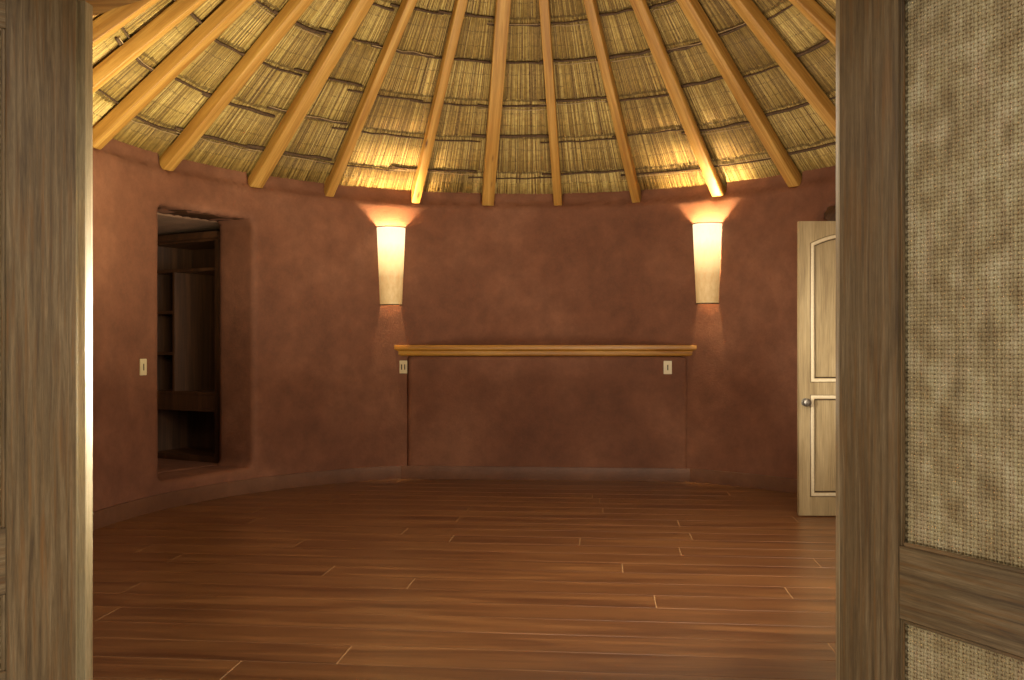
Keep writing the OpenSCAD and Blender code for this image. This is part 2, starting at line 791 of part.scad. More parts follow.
module knee_wall() {
    color("#6d4a38") intersection() {
        at_bearing(knee_bearing) translate([-inner_r, knee_y, floor_z + seat_gap])
            cube([2 * inner_r, inner_r, knee_top - floor_z - 2 * seat_gap]);
        knee_back();
    }
}

module bed_ledge() {
    top = floor_z + ledge_top;
    color("#b5854a") intersection() {
        at_bearing(knee_bearing) rotate([90, 0, 90]) translate([0, 0, -inner_r])
            linear_extrude(2 * inner_r) polygon([
                [inner_r, knee_top], [knee_y, knee_top],
                [knee_y - ledge_out * 0.4, knee_top + ledge_h * 0.12],
                [knee_y - ledge_out * 0.4, knee_top + ledge_h * 0.45],
                [ledge_y, knee_top + ledge_h * 0.6], [ledge_y, top], [inner_r, top]
            ]);
        knee_back();
    }
}

// Wall lights: upright half cones of parchment, open above and below
module wall_lights() {
    shade_t = 3;
    y = sqrt(pow(inner_r, 2) - pow(light_top_r, 2)) - seat_gap;
    color("#e8cf9a") for (b = light_bearings) at_bearing(b) translate([0, y, floor_z + light_z])
        rotate([0, 0, 180]) rotate_extrude(angle = 180, $fn = 64) polygon([
            [light_foot_r - shade_t, 0], [light_foot_r, 0],
            [light_top_r, light_h], [light_top_r - shade_t, light_h]
        ]);
}

// Rafters: cut flat on the wall, butting the crown ring
module rafter_section(depth) {
    polygon([
        [crown_r, slope_z(crown_r, 0)], [inner_r, wall_top],
        [inner_r + depth / sin(pitch), wall_top], [crown_r, slope_z(crown_r, depth)]
    ]);
}

// The pole's flat ends and underside are cut by a block that is larger by this on its other sides
pole_margin = 10;

module rafters() {
    color("#b98444") for (i = [0 : rafter_count - 1]) {
        if (timbers[i][1] == 0) {
            intersection() {
                upright(pole_d + 2 * pole_margin, timber_bearing(i)) rafter_section(rafter_d + pole_margin);
                rotate([0, 0, 90 - timber_bearing(i)])
                    translate([inner_r, 0, slope_z(inner_r, rafter_d - pole_d / 2)])
                        rotate([0, -90 + pitch, 0]) translate([0, 0, -wall_t])
                            cylinder(d = pole_d, h = inner_r * 2, $fn = 48);
            }
        } else {
            upright(timbers[i][1], timber_bearing(i)) rafter_section(rafter_d);
        }
    }
}

// Eaves pieces: wedges on the rafters' feet that carry the thatch out past the wall
module eaves_pieces() {
    under_d = rafter_d + seat_gap;
    top_r = meet_r(under_d, eaves_d);
    color("#a87a44") for (i = [0 : rafter_count - 1]) upright(eaves_w, timber_bearing(i)) polygon([
        [top_r, slope_z(top_r, under_d)], [inner_r + under_d / sin(pitch), wall_top], [outer_r, wall_top],
        [eaves_r, kick_z(eaves_r, 0)], [eaves_r, kick_z(eaves_r, eaves_d)]
    ]);
}

fill_r = inner_r + 30;
fill_out = outer_r - 100;

module beam_filling() {
    fill_top = kick_z(fill_r, thatch_in_kick) - seat_gap;
    color("#7a5540") difference() {
        spun(0, 360) polygon([
            [fill_r, wall_top], [fill_out, wall_top],
            [fill_out, kick_z(fill_out, thatch_in_kick) - seat_gap], [fill_r, fill_top]
        ]);
        for (i = [0 : rafter_count - 1]) rotate([0, 0, 90 - timber_bearing(i)])
            translate([inner_r, -timber_width(i) / 2 - seat_gap, wall_top - 1])
                cube([wall_t, timber_width(i) + 2 * seat_gap, fill_top - wall_top + 2]);
        ring_block(inner_r, plate_r, wall_top - 1, fill_top + 1, 180 - plate_bearing, 180 + plate_bearing);
    }
}

batten_rows = floor((batten_r - crown_r - 100) / batten_step);

// A batten is a ring, so it lies on the edges of the flat timbers, a little above their middles
function ring_lift(r, slope) = (r - sqrt(pow(r, 2) - pow(widest_timber / 2, 2))) * sin(slope);

module batten(r, z, lift) {
    rotate_extrude() translate([r, z]) circle(d = batten_d - lift - 2 * seat_gap, $fn = 24);
}

module battens() {
    color("#54402c") {
        for (k = [0 : batten_rows])
            let (r = batten_r - k * batten_step, lift = ring_lift(r, pitch))
                batten(r, slope_z(r, rafter_d + (batten_d + lift) / 2), lift);
        for (r = [outer_r - batten_d, (outer_r + eaves_r) / 2 + batten_d, eaves_r - batten_d])
            let (lift = ring_lift(r, eaves_pitch))
                batten(r, kick_z(r, eaves_d + (batten_d + lift) / 2), lift);
    }
}

module crown_ring() {
    low = slope_z(crown_r, 0) - 12;
    color("#9a6c3a") difference() {
        translate([0, 0, low]) cylinder(r = crown_r - seat_gap, h = slope_z(crown_r, rafter_d) - low);
        translate([0, 0, low - 1]) cylinder(r = crown_r - crown_t, h = wall_h);
    }
}

// Thatch: lanes laid side by side up the slope, each over an eaves bundle that kicks out
module thatch() {
    out = thatch_in + thatch_t;
    out_kick = thatch_in_kick + thatch_t;
    bell_in = meet_r(thatch_in, thatch_in_kick);
    bell_out = meet_r(out, out_kick);
    eaves_in = bell_in + 2 * seat_gap;
    eaves_out = bell_out + 2 * seat_gap;
    tip = eaves_r + thatch_over;
    lane = 360 / lane_count;
    color("#b39a66") for (i = [0 : lane_count - 1]) spun(i * lane, (i + 1) * lane - lane_joint) {
        polygon([
            [core_r, slope_z(core_r, thatch_in)], [bell_in, slope_z(bell_in, thatch_in)],
            [bell_out, slope_z(bell_out, out)], [core_r, slope_z(core_r, out)]
        ]);
        polygon([
            [eaves_in, kick_z(eaves_in, thatch_in_kick)], [tip, kick_z(tip, thatch_in_kick)],
            [tip + thatch_t * sin(eaves_pitch), kick_z(tip, thatch_in_kick) + thatch_t * cos(eaves_pitch)],
            [eaves_out, kick_z(eaves_out, out_kick)]
        ]);
    }
}

// Cap over the peak, with a core between the ends of the lanes
module peak_cap() {
    depth = thatch_in + thatch_t;
    core = core_r - seat_gap;
    color("#8f7a52") rotate_extrude() polygon([
        [0, slope_z(core_r, thatch_in)], [core, slope_z(core_r, thatch_in)], [core, slope_z(core, depth) + seat_gap],
        [cap_r, slope_z(cap_r, depth) + seat_gap],
        [cap_r + cap_t * sin(pitch), slope_z(cap_r, depth) + cap_t * cos(pitch)],
        [0, slope_z(0, depth + cap_t)]
    ]);
}

foundation();
plank_floor();
threshold();
skirting();
wall_back_left();
wall_back_centre_left();
wall_back_centre_right();
wall_back_right();
wall_right();
wall_front_right();
wall_front_left();
wall_left();
walls_at_openings();
lintels();
entrance_posts();
entrance_head();
entrance_plate();
left_leaf();
left_leaf_panels();
left_leaf_hinges();
right_leaf();
right_leaf_panels();
right_leaf_hinges();
side_door_posts();
side_door_head();
side_door_leaf();
side_door_knobs();
side_door_hinges();
hinge_pins();
window_frames();
window_glass();
closet_floor();
closet_walls();
closet_roof();
closet_shelves();
knee_wall();
bed_ledge();
wall_lights();
rafters();
eaves_pieces();
beam_filling();
battens();
crown_ring();
thatch();
peak_cap();
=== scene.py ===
import json
import math
import random

import bmesh
import bpy
from mathutils import Matrix, Vector, noise
from mathutils.bvhtree import BVHTree


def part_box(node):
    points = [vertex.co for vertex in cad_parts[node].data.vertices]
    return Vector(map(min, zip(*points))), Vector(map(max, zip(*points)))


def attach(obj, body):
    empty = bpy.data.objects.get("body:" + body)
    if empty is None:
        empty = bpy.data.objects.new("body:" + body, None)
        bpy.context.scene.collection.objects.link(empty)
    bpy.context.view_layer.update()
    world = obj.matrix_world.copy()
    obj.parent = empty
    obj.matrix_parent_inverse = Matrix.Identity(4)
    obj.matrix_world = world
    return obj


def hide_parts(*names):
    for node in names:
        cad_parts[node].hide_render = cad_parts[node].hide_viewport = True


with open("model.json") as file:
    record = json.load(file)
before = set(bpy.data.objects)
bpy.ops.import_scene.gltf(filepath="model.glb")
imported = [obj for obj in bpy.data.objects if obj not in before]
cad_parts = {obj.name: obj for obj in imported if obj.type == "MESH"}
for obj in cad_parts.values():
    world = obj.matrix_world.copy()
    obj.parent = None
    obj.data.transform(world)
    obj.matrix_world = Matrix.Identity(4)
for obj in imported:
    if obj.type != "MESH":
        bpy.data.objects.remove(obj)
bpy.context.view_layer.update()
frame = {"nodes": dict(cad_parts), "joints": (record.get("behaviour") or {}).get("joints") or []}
cad = frame["nodes"]

# Camera: it stands outside the open doors at eye height and looks level into the room, a little
# left of the hut's axis.
EYE = (0.4976, -5.9025, 1.340)
EYE_BEARING = math.radians(-5.6)
lens = bpy.data.cameras.new("camera")
lens.lens = 33.3
lens.sensor_width = 36
lens.shift_y = 0.0057
camera = bpy.data.objects.new("camera", lens)
camera.location = EYE
camera.rotation_euler = (math.pi / 2, 0, -EYE_BEARING)
bpy.context.collection.objects.link(camera)
bpy.context.scene.camera = camera


# Studio: a pale floor under the hut, an even sky, three large soft lamps outside and smaller ones
# in the room, which the camera doesn't see.
def fill(tree, socket, value):
    """Sets a socket to a value, or wires another node's output into it."""
    if isinstance(value, bpy.types.NodeSocket):
        tree.links.new(value, socket)
    else:
        socket.default_value = value


def put(tree, kind, sockets=None, **settings):
    """Adds a node with its settings, and fills its sockets, given by name or by number."""
    node = tree.nodes.new(kind)
    for key, value in settings.items():
        setattr(node, key, value)
    for key, value in (sockets or {}).items():
        fill(tree, node.inputs[key], value)
    return node


def screen(red, green, blue):
    """A colour as a screen shows it, 0 to 255, turned into linear values."""
    return tuple(((level / 255 + 0.055) / 1.055) ** 2.4 for level in (red, green, blue)) + (1,)


def grey(level):
    """An even grey, for masks and shades."""
    return (level, level, level, 1)


def finish(name, roughness, metal=0.0):
    """A new material, with its even roughness and metal on the shader's own sockets."""
    material = bpy.data.materials.new(name)
    material.use_nodes = True
    shader = material.node_tree.nodes["Principled BSDF"]
    shader.inputs["Roughness"].default_value = roughness
    shader.inputs["Metallic"].default_value = metal
    return material


def add_object(name, mesh, material):
    """Puts a mesh in the scene with one finish."""
    mesh.materials.clear()
    mesh.materials.append(material)
    obj = bpy.data.objects.new(name, mesh)
    bpy.context.collection.objects.link(obj)
    return obj


def area_lamp(name, place, target, width, watts, tint=(1, 1, 1), spread=180):
    """A square soft lamp that the camera doesn't see, with its spread in degrees."""
    light = bpy.data.lights.new(name, "AREA")
    light.size = width
    light.energy = watts
    light.color = tint
    light.spread = math.radians(spread)
    lamp = bpy.data.objects.new(name, light)
    lamp.location = place
    lamp.rotation_euler = (Vector(target) - Vector(place)).to_track_quat("-Z", "Y").to_euler()
    lamp.visible_camera = False
    bpy.context.collection.objects.link(lamp)


STAGE_REACH, STAGE_DROP = 60, 0.001
stage_mesh = bpy.data.meshes.new("stage_floor")
stage_mesh.from_pydata(
    [(x * STAGE_REACH, y * STAGE_REACH, -STAGE_DROP) for x, y in ((-1, -1), (1, -1), (1, 1), (-1, 1))],
    [], [(0, 1, 2, 3)],
)
stage_finish = finish("stage_floor", 0.9)
stage_finish.node_tree.nodes["Principled BSDF"].inputs["Base Color"].default_value = (0.78, 0.77, 0.75, 1)
add_object("stage_floor", stage_mesh, stage_finish)

sky = bpy.data.worlds.new("studio")
sky.use_nodes = True
sky_tree = sky.node_tree
sky_paths = put(sky_tree, "ShaderNodeLightPath")
sky_seen = put(sky_tree, "ShaderNodeMix", {
    0: sky_paths.outputs["Is Camera Ray"], 2: 0.4, 3: 0.93})
fill(sky_tree, sky_tree.nodes["Background"].inputs["Strength"], sky_seen.outputs[0])
sky_tree.nodes["Background"].inputs["Color"].default_value = (1, 0.99, 0.97, 1)
bpy.context.scene.world = sky
bpy.context.scene.view_settings.view_transform = "Standard"

area_lamp("key_lamp", (8, -11, 10), (0, 0, 2), 8, 740)
area_lamp("fill_lamp", (-11, -6, 7), (0, 0, 2), 8, 520)
area_lamp("back_lamp", (-4, 12, 9), (0, 0, 2), 8, 700)
WARM = (1, 0.86, 0.66)
area_lamp("door_lamp", (1.0, -2.3, 1.7), (-1.2, 2.4, 1.3), 1.5, 52, WARM)
area_lamp("room_lamp", (0.8, -0.6, 2.45), (1.0, -0.9, 0), 2.2, 28, WARM)
area_lamp("roof_lamp", (0, 0.1, 1.0), (0, 0.1, 4), 2.6, 62, WARM)
area_lamp("left_roof_lamp", (-1.7, -0.9, 1.9), (-2.3, -0.4, 3), 0.7, 34, (1, 0.86, 0.5))
area_lamp("post_lamp", (0.1, -0.3, 1.3), (-1.2, -2.93, 1.3), 0.4, 12, (1, 0.93, 0.75), 30)
area_lamp("leaf_lamp", (-0.6, -2.3, 1.5), (2.3, 0.9, 1.2), 0.4, 4, (1, 0.93, 0.8), 26)
area_lamp("floor_lamp", (2.0, -0.9, 1.9), (1.4, -0.2, 0.15), 0.6, 12, WARM)
area_lamp("closet_lamp", (-2.5, 0.9, 1.9), (-2.95, 1.9, 1.6), 0.3, 1.2, WARM)


# Footing: a low ring of field stones in pale mortar under the wall, the entrance and the closet
# bay. The CAD solid stays as the mortar's bed, and the stones stand a little proud of it.
def merged(*nodes):
    """The CAD nodes as one new bmesh, with their loose triangles joined."""
    shape = bmesh.new()
    for node in nodes:
        shape.from_mesh(cad[node].data)
    bmesh.ops.remove_doubles(shape, verts=shape.verts, dist=1e-5)
    return shape


def flattened(shape, angle):
    """Drops the edges of a bmesh that turn by less than the angle, in radians."""
    bmesh.ops.dissolve_limit(shape, angle_limit=angle, verts=shape.verts, edges=shape.edges)
    return shape


def turned(shape, angle):
    """Turns a bmesh about the hut's axis."""
    bmesh.ops.rotate(shape, matrix=Matrix.Rotation(angle, 3, "Z"), verts=shape.verts)


def made(name, shape, material, smooth_angle=0.0):
    """Makes an object of a bmesh, smooth across edges that turn by less than the angle."""
    mesh = bpy.data.meshes.new(name)
    shape.to_mesh(mesh)
    shape.free()
    if smooth_angle:
        mesh.shade_smooth()
        mesh.set_sharp_from_angle(angle=math.radians(smooth_angle))
    return add_object(name, mesh, material)


def stand_in(obj, body, slot, *nodes):
    """Parents a piece to its body, so that it moves with it, and hides the CAD nodes that it stands for. The
    slot is not used.
    """
    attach(obj, body)
    if nodes:
        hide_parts(*nodes)


def repaint(material, *nodes):
    """Gives CAD nodes that stay in the picture their finish."""
    for node in nodes:
        cad[node].data.materials.clear()
        cad[node].data.materials.append(material)


def object_place(tree, scale=(1, 1, 1)):
    """Object coordinates, scaled for a pattern."""
    place = put(tree, "ShaderNodeTexCoord").outputs["Object"]
    return put(tree, "ShaderNodeMapping", {"Vector": place, "Scale": scale}).outputs[0]


def cloud(tree, place, size, detail=3.0, rough=0.5):
    """Soft noise, 0 to 1."""
    return put(tree, "ShaderNodeTexNoise", {
        "Vector": place, "Scale": size, "Detail": detail, "Roughness": rough}).outputs[0]


def ramp(tree, factor, *stops):
    """Colours along a factor, each with its position."""
    node = put(tree, "ShaderNodeValToRGB", {0: factor})
    elements = node.color_ramp.elements
    for k, (position, colour) in enumerate(stops):
        element = elements[k] if k < 2 else elements.new(position)
        element.position = position
        element.color = colour
    return node.outputs[0]


def tones(tree, factor, dark, light):
    """Two screen colours, one running into the other over the middle of a factor."""
    return ramp(tree, factor, (0.3, screen(*dark)), (0.7, screen(*light)))


def blend(tree, factor, under, over, mode="MIX"):
    """Lays one colour over another."""
    return put(tree, "ShaderNodeMix", {0: factor, 6: under, 7: over},
               data_type="RGBA", blend_type=mode).outputs[2]


def coat(material, colour, height=None, depth=0.002):
    """Wires a colour, and a relief of that depth in metres, into a material's shader."""
    tree = material.node_tree
    shader = tree.nodes["Principled BSDF"]
    fill(tree, shader.inputs["Base Color"], colour)
    if height is not None:
        bump = put(tree, "ShaderNodeBump", {"Height": height, "Distance": depth, "Strength": 1.0})
        fill(tree, shader.inputs["Normal"], bump.outputs[0])


def flat_finish(name, roughness, colour, metal=0.0):
    """A finish of one colour."""
    material = finish(name, roughness, metal)
    coat(material, screen(*colour))
    return material


def grainy_finish(name, roughness, size, detail, dark, light, depth=None, rough=0.5, metal=0.0):
    """A finish whose two colours, and relief where it has any, follow one fine grain."""
    material = finish(name, roughness, metal)
    tree = material.node_tree
    grain = cloud(tree, object_place(tree), size, detail, rough)
    coat(material, tones(tree, grain, dark, light), grain if depth else None, depth)
    return material


repaint(grainy_finish("mortar", 0.95, 40, 4, (128, 112, 92), (158, 142, 118), 0.004), "foundation")

field_stone = finish("field_stone", 0.85)
stone_tree = field_stone.node_tree
stone_tone = put(stone_tree, "ShaderNodeAttribute", attribute_name="tone").outputs["Fac"]
stone_grain = cloud(stone_tree, object_place(stone_tree), 28, 5, 0.6)
stone_colour = ramp(stone_tree, stone_tone, (0.0, screen(92, 78, 64)), (1.0, screen(146, 130, 108)),
                    (0.5, screen(118, 98, 78)))
stone_shade = tones(stone_tree, stone_grain, (70, 60, 50), (190, 175, 150))
coat(field_stone, blend(stone_tree, 0.5, stone_colour, stone_shade, "OVERLAY"), stone_grain, 0.006)

foundation_low, foundation_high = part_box("foundation")
OUTER = foundation_high.x
FOOT_H = foundation_high.z
NICHE_BEARING = math.radians(-66.3)
BAY_LOW, BAY_HIGH, BAY_IN, BAY_OUT, BAY_EDGE = -0.714, 1.2, 2.6, 4.25, 0.05
PORCH_X, PORCH_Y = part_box("threshold")[1].x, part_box("entrance_posts")[0].y - 0.04
STONE_LENGTHS, SHORTEST_STONE = (0.16, 0.34), 0.08
STONE_T, STONE_PROUD, STONE_JOINT, STONE_BED = 0.09, 0.012, 0.014, 0.008
random.seed(3)
noise.seed_set(3)


def bay_place(x, y):
    """A place in the closet bay's own frame, +Y out through the wall, turned into the hut's."""
    return (x * math.cos(NICHE_BEARING) + y * math.sin(NICHE_BEARING),
            y * math.cos(NICHE_BEARING) - x * math.sin(NICHE_BEARING))


def in_bay(x, y):
    """Whether a place lies inside the closet bay's walls."""
    bay_x = x * math.cos(NICHE_BEARING) - y * math.sin(NICHE_BEARING)
    bay_y = x * math.sin(NICHE_BEARING) + y * math.cos(NICHE_BEARING)
    return BAY_LOW - BAY_EDGE < bay_x < BAY_HIGH + BAY_EDGE and bay_y > 0


def footing_line(points):
    """Places along a line of points, about a stone's length apart, each with its direction."""
    for (x1, y1), (x2, y2) in zip(points, points[1:]):
        length = math.hypot(x2 - x1, y2 - y1)
        along = 0
        while along < length - SHORTEST_STONE:
            size = min(random.uniform(*STONE_LENGTHS), length - along)
            middle = (along + size / 2) / length
            yield (x1 + (x2 - x1) * middle, y1 + (y2 - y1) * middle,
                   math.atan2(y2 - y1, x2 - x1), size)
            along += size


def add_mesh(shape, mesh):
    """Adds a mesh to a bmesh, and drops it."""
    shape.from_mesh(mesh)
    bpy.data.meshes.remove(mesh)


def add_part(shape, part):
    """Adds a finished bmesh to another."""
    mesh = bpy.data.meshes.new("part")
    part.to_mesh(mesh)
    part.free()
    add_mesh(shape, mesh)


def add_stone(shape, x, y, turn, size, low, high):
    """A rounded stone that fills a stretch of the footing's face."""
    part = bmesh.new()
    bmesh.ops.create_cube(part, size=1)
    bmesh.ops.subdivide_edges(part, edges=part.edges, cuts=3, use_grid_fill=True)
    seed = Vector((x * 3.1, y * 2.7, low * 9))
    for vert in part.verts:
        ball = vert.co.normalized() * 0.62
        vert.co = vert.co.lerp(ball, 0.3)
        vert.co += noise.noise_vector(vert.co * 2.2 + seed) * 0.09
    bmesh.ops.scale(part, vec=(size - STONE_JOINT, STONE_T, high - low - STONE_BED), verts=part.verts)
    turned(part, turn)
    depth, aside = STONE_T / 2 - STONE_PROUD, turn - math.pi / 2
    bmesh.ops.translate(part, verts=part.verts, vec=(
        x - depth * math.cos(aside), y - depth * math.sin(aside), (low + high) / 2))
    tone = part.verts.layers.float.new("tone")
    value = random.random()
    for vert in part.verts:
        vert[tone] = value
    add_part(shape, part)


stones = bmesh.new()
STONE_RING = [(OUTER * math.cos(a), OUTER * math.sin(a)) for a in
              (math.radians(3 * k) for k in range(121))]
bay_line = [bay_place(x, y) for x, y in
            ((BAY_HIGH, BAY_IN), (BAY_HIGH, BAY_OUT), (BAY_LOW, BAY_OUT), (BAY_LOW, BAY_IN))]
porch_line = [(-PORCH_X, -BAY_IN), (-PORCH_X, PORCH_Y), (PORCH_X, PORCH_Y), (PORCH_X, -BAY_IN)]
for line, covered in (
    (STONE_RING, lambda x, y: in_bay(x, y) or (abs(x) < PORCH_X and y < 0)),
    (bay_line, lambda x, y: math.hypot(x, y) < OUTER),
    (porch_line, lambda x, y: math.hypot(x, y) < OUTER),
):
    for x, y, turn, size in footing_line(line):
        if not covered(x, y):
            add_stone(stones, x, y, turn, size, 0.0, FOOT_H)
stand_in(made("footing_stones", stones, field_stone, 60), "hut", "footing")


# Plank floor: boards of dark polished hardwood, 0.22 m wide, laid across the room and cut to the
# round wall and to both doorways. A pale sheet under the boards shows as thin pale lines in the joints
# between them.
FLOOR_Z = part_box("plank_floor")[1].z
BOARD_W = 0.22
BOARD_JOINT = 0.004
JOINT_SHEET_DEPTH = 0.0012
BOARD_EASE = 0.001


def cut_away(shape, point, normal):
    """Cuts a closed shape with a plane, drops the side that the normal points to, and closes it."""
    cut = bmesh.ops.bisect_plane(
        shape, geom=shape.verts[:] + shape.edges[:] + shape.faces[:],
        plane_co=point, plane_no=normal, clear_outer=True)
    rim = [item for item in cut["geom_cut"] if isinstance(item, bmesh.types.BMEdge)]
    if rim:
        bmesh.ops.edgenet_fill(shape, edges=rim)


def lay_grain(part, along, start):
    """The UV map that wood finishes read: u runs along the timber and v around it, in metres."""
    across = [axis for axis in range(3) if axis != along]
    grain = part.loops.layers.uv.new("grain")
    for face in part.faces:
        for loop in face.loops:
            place = loop.vert.co
            loop[grain].uv = (place[along] + start, place[across[0]] + place[across[1]] + start * 0.37)


def wood_finish(name, roughness, dark, middle, light, figure=(1.1, 16), fibre=(5, 300), fibre_weight=0.7,
                knots=None, streak=None):
    """Sawn wood on the grain map: a slow figure, fine fibres, and knots or streaks where asked."""
    material = finish(name, roughness)
    tree = material.node_tree
    grain = put(tree, "ShaderNodeUVMap", uv_map="grain").outputs[0]
    waved = put(tree, "ShaderNodeMapping", {"Vector": grain, "Scale": (*figure, 1)}).outputs[0]
    fine = put(tree, "ShaderNodeMapping", {"Vector": grain, "Scale": (*fibre, 1)}).outputs[0]
    figure_tone = put(tree, "ShaderNodeTexNoise", {
        "Vector": waved, "Scale": 1.0, "Detail": 4, "Roughness": 0.6, "Distortion": 0.7}).outputs[0]
    colour = ramp(tree, figure_tone, (0.3, screen(*dark)), (0.72, screen(*light)), (0.5, screen(*middle)))
    fibre_tone = cloud(tree, fine, 1.0, 3, 0.7)
    fibre_shade = ramp(tree, fibre_tone, (0.25, grey(0.25)), (0.75, grey(0.75)))
    colour = blend(tree, fibre_weight, colour, fibre_shade, "OVERLAY")
    if streak:
        streak_place = put(tree, "ShaderNodeMapping", {"Vector": grain, "Scale": (2.2, 60, 1)}).outputs[0]
        streak_mask = ramp(tree, cloud(tree, streak_place, 1.3, 3), (0.5, grey(0)), (0.8, grey(0.8)))
        colour = blend(tree, streak_mask, colour, screen(*streak))
    if knots:
        knot_place = put(tree, "ShaderNodeMapping", {"Vector": grain, "Scale": (1.6, 7, 1)}).outputs[0]
        knot_reach = put(tree, "ShaderNodeTexVoronoi", {
            "Vector": knot_place, "Scale": 1.0, "Randomness": 1.0}).outputs["Distance"]
        knot_mask = ramp(tree, knot_reach, (0.03, grey(1)), (0.1, grey(0)))
        colour = blend(tree, knot_mask, colour, screen(*knots))
    coat(material, colour, fibre_tone, 0.0008)
    return material


floor_wood = wood_finish("floor_boards", 0.3, (80, 46, 25), (106, 68, 38), (134, 91, 52),
                         figure=(0.9, 10), fibre=(4, 200), fibre_weight=0.4)
floor_slab = flattened(merged("plank_floor"), 0.001)
boards = bmesh.new()
floor_low, floor_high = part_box("plank_floor")
random.seed(5)
row_count = math.ceil((floor_high.y - floor_low.y) / BOARD_W)
for row in range(row_count):
    y1 = floor_low.y + row * BOARD_W
    joints = [floor_low.x - 0.1, random.uniform(-2.2, -0.4), random.uniform(0.3, 2.3), floor_high.x + 0.1]
    for x1, x2 in zip(joints, joints[1:]):
        board = floor_slab.copy()
        low, high = Vector((x1, y1, 0)), Vector((x2, y1 + BOARD_W, 0))
        for normal in (Vector((0, 1, 0)), Vector((1, 0, 0))):
            cut_away(board, low + normal * BOARD_JOINT / 2, -normal)
            cut_away(board, high - normal * BOARD_JOINT / 2, normal)
        if not board.faces:
            board.free()
            continue
        rim = [e for e in board.edges if min(v.co.z for v in e.verts) > FLOOR_Z - 1e-4
               and len(e.link_faces) == 2 and e.calc_face_angle() > 1]
        bmesh.ops.bevel(board, geom=rim, offset=BOARD_EASE, segments=1, affect="EDGES")
        lay_grain(board, 0, random.uniform(0, 40))
        add_part(boards, board)
stand_in(made("floor_boards", boards, floor_wood), "hut", "floor_boards", "plank_floor")

# A pale sheet just under the boards' tops. It is seen only in the joints, which it draws as thin pale lines.
joint_sheet = flat_finish("pale_joint_sheet", 0.8, (176, 138, 92))
for vert in floor_slab.verts:
    vert.co.z = min(vert.co.z, FLOOR_Z - JOINT_SHEET_DEPTH)
stand_in(made("floor_joint_sheet", floor_slab, joint_sheet), "hut", "floor_boards")

# Ring wall: adobe under hand-laid clay plaster. It is one skin over the wall's segments, the
# lintels built into it and the filling packed between the rafters' feet, with a face that isn't
# quite true.
INNER = round(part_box("skirting")[1].x, 3)
WALL_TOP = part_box("wall_left")[1].z
SEGMENT_LAP = math.radians(0.06)
FILLING_SINK = 0.02
NEAR = math.radians(5)
SIDE_BEARING = math.radians(62.6)


def bearing_of(x, y):
    """Angle from the entrance's far side, clockwise seen from above."""
    return math.atan2(x, y)


def islands(shape):
    """The separate solids of a bmesh, each as a list of its corners, in a fixed order."""
    left = set(shape.verts)
    for start in shape.verts:
        if start not in left:
            continue
        left.discard(start)
        solid, edge = [start], [start]
        while edge:
            for link in edge.pop().link_edges:
                for vert in link.verts:
                    if vert in left:
                        left.discard(vert)
                        solid.append(vert)
                        edge.append(vert)
        yield solid


def middle_of(verts):
    """The middle of some corners."""
    return sum((vert.co for vert in verts), Vector()) / len(verts)


def settle(obj, smooth_angle):
    """Turns an object's modifiers into plain mesh."""
    mesh = bpy.data.meshes.new_from_object(obj.evaluated_get(bpy.context.evaluated_depsgraph_get()))
    obj.modifiers.clear()
    obj.data = mesh
    mesh.shade_smooth()
    mesh.set_sharp_from_angle(angle=math.radians(smooth_angle))
    return obj


def eased(obj, width, segments, sharp_angle, smooth_angle):
    """Rounds the edges of an object that turn by more than the sharp angle."""
    ease = obj.modifiers.new("ease", "BEVEL")
    ease.width = width
    ease.segments = segments
    ease.limit_method = "ANGLE"
    ease.angle_limit = math.radians(sharp_angle)
    return settle(obj, smooth_angle)


def plastered(name, shape, material, voxel, unevenness, spread=3.0):
    """Turns solids that overlap into one plaster skin with a face that isn't true."""
    true_faces = BVHTree.FromBMesh(shape)
    skin = made(name, shape, material)
    remesh = skin.modifiers.new("skin", "REMESH")
    remesh.mode = "VOXEL"
    remesh.voxel_size = voxel
    mesh = bpy.data.meshes.new_from_object(skin.evaluated_get(bpy.context.evaluated_depsgraph_get()))
    skin.modifiers.clear()
    skin.data = mesh
    normals = [vert.normal.copy() for vert in mesh.vertices]
    for vert, normal in zip(mesh.vertices, normals):
        swell = noise.noise(vert.co * spread) + 0.5 * noise.noise(vert.co * spread * 3.1)
        vert.co = true_faces.find_nearest(vert.co)[0] + normal * unevenness * swell
    mesh.shade_smooth()
    mesh.materials.clear()
    mesh.materials.append(material)
    return skin


def plaster_finish(name, dark, middle, light, roughness=0.82):
    """Clay plaster: broad mottling, smaller blots and a fine trowelled grain."""
    material = finish(name, roughness)
    tree = material.node_tree
    place = object_place(tree)
    mottle = cloud(tree, place, 1.1, 5, 0.62)
    colour = ramp(tree, mottle, (0.3, screen(*dark)), (0.7, screen(*light)), (0.5, screen(*middle)))
    blots = ramp(tree, cloud(tree, place, 7, 4, 0.6), (0.3, grey(0.36)), (0.7, grey(0.62)))
    colour = blend(tree, 0.55, colour, blots, "OVERLAY")
    grain = cloud(tree, place, 55, 5, 0.65)
    specks = ramp(tree, grain, (0.3, grey(0.4)), (0.7, grey(0.58)))
    coat(material, blend(tree, 0.4, colour, specks, "OVERLAY"), grain, 0.0025)
    return material


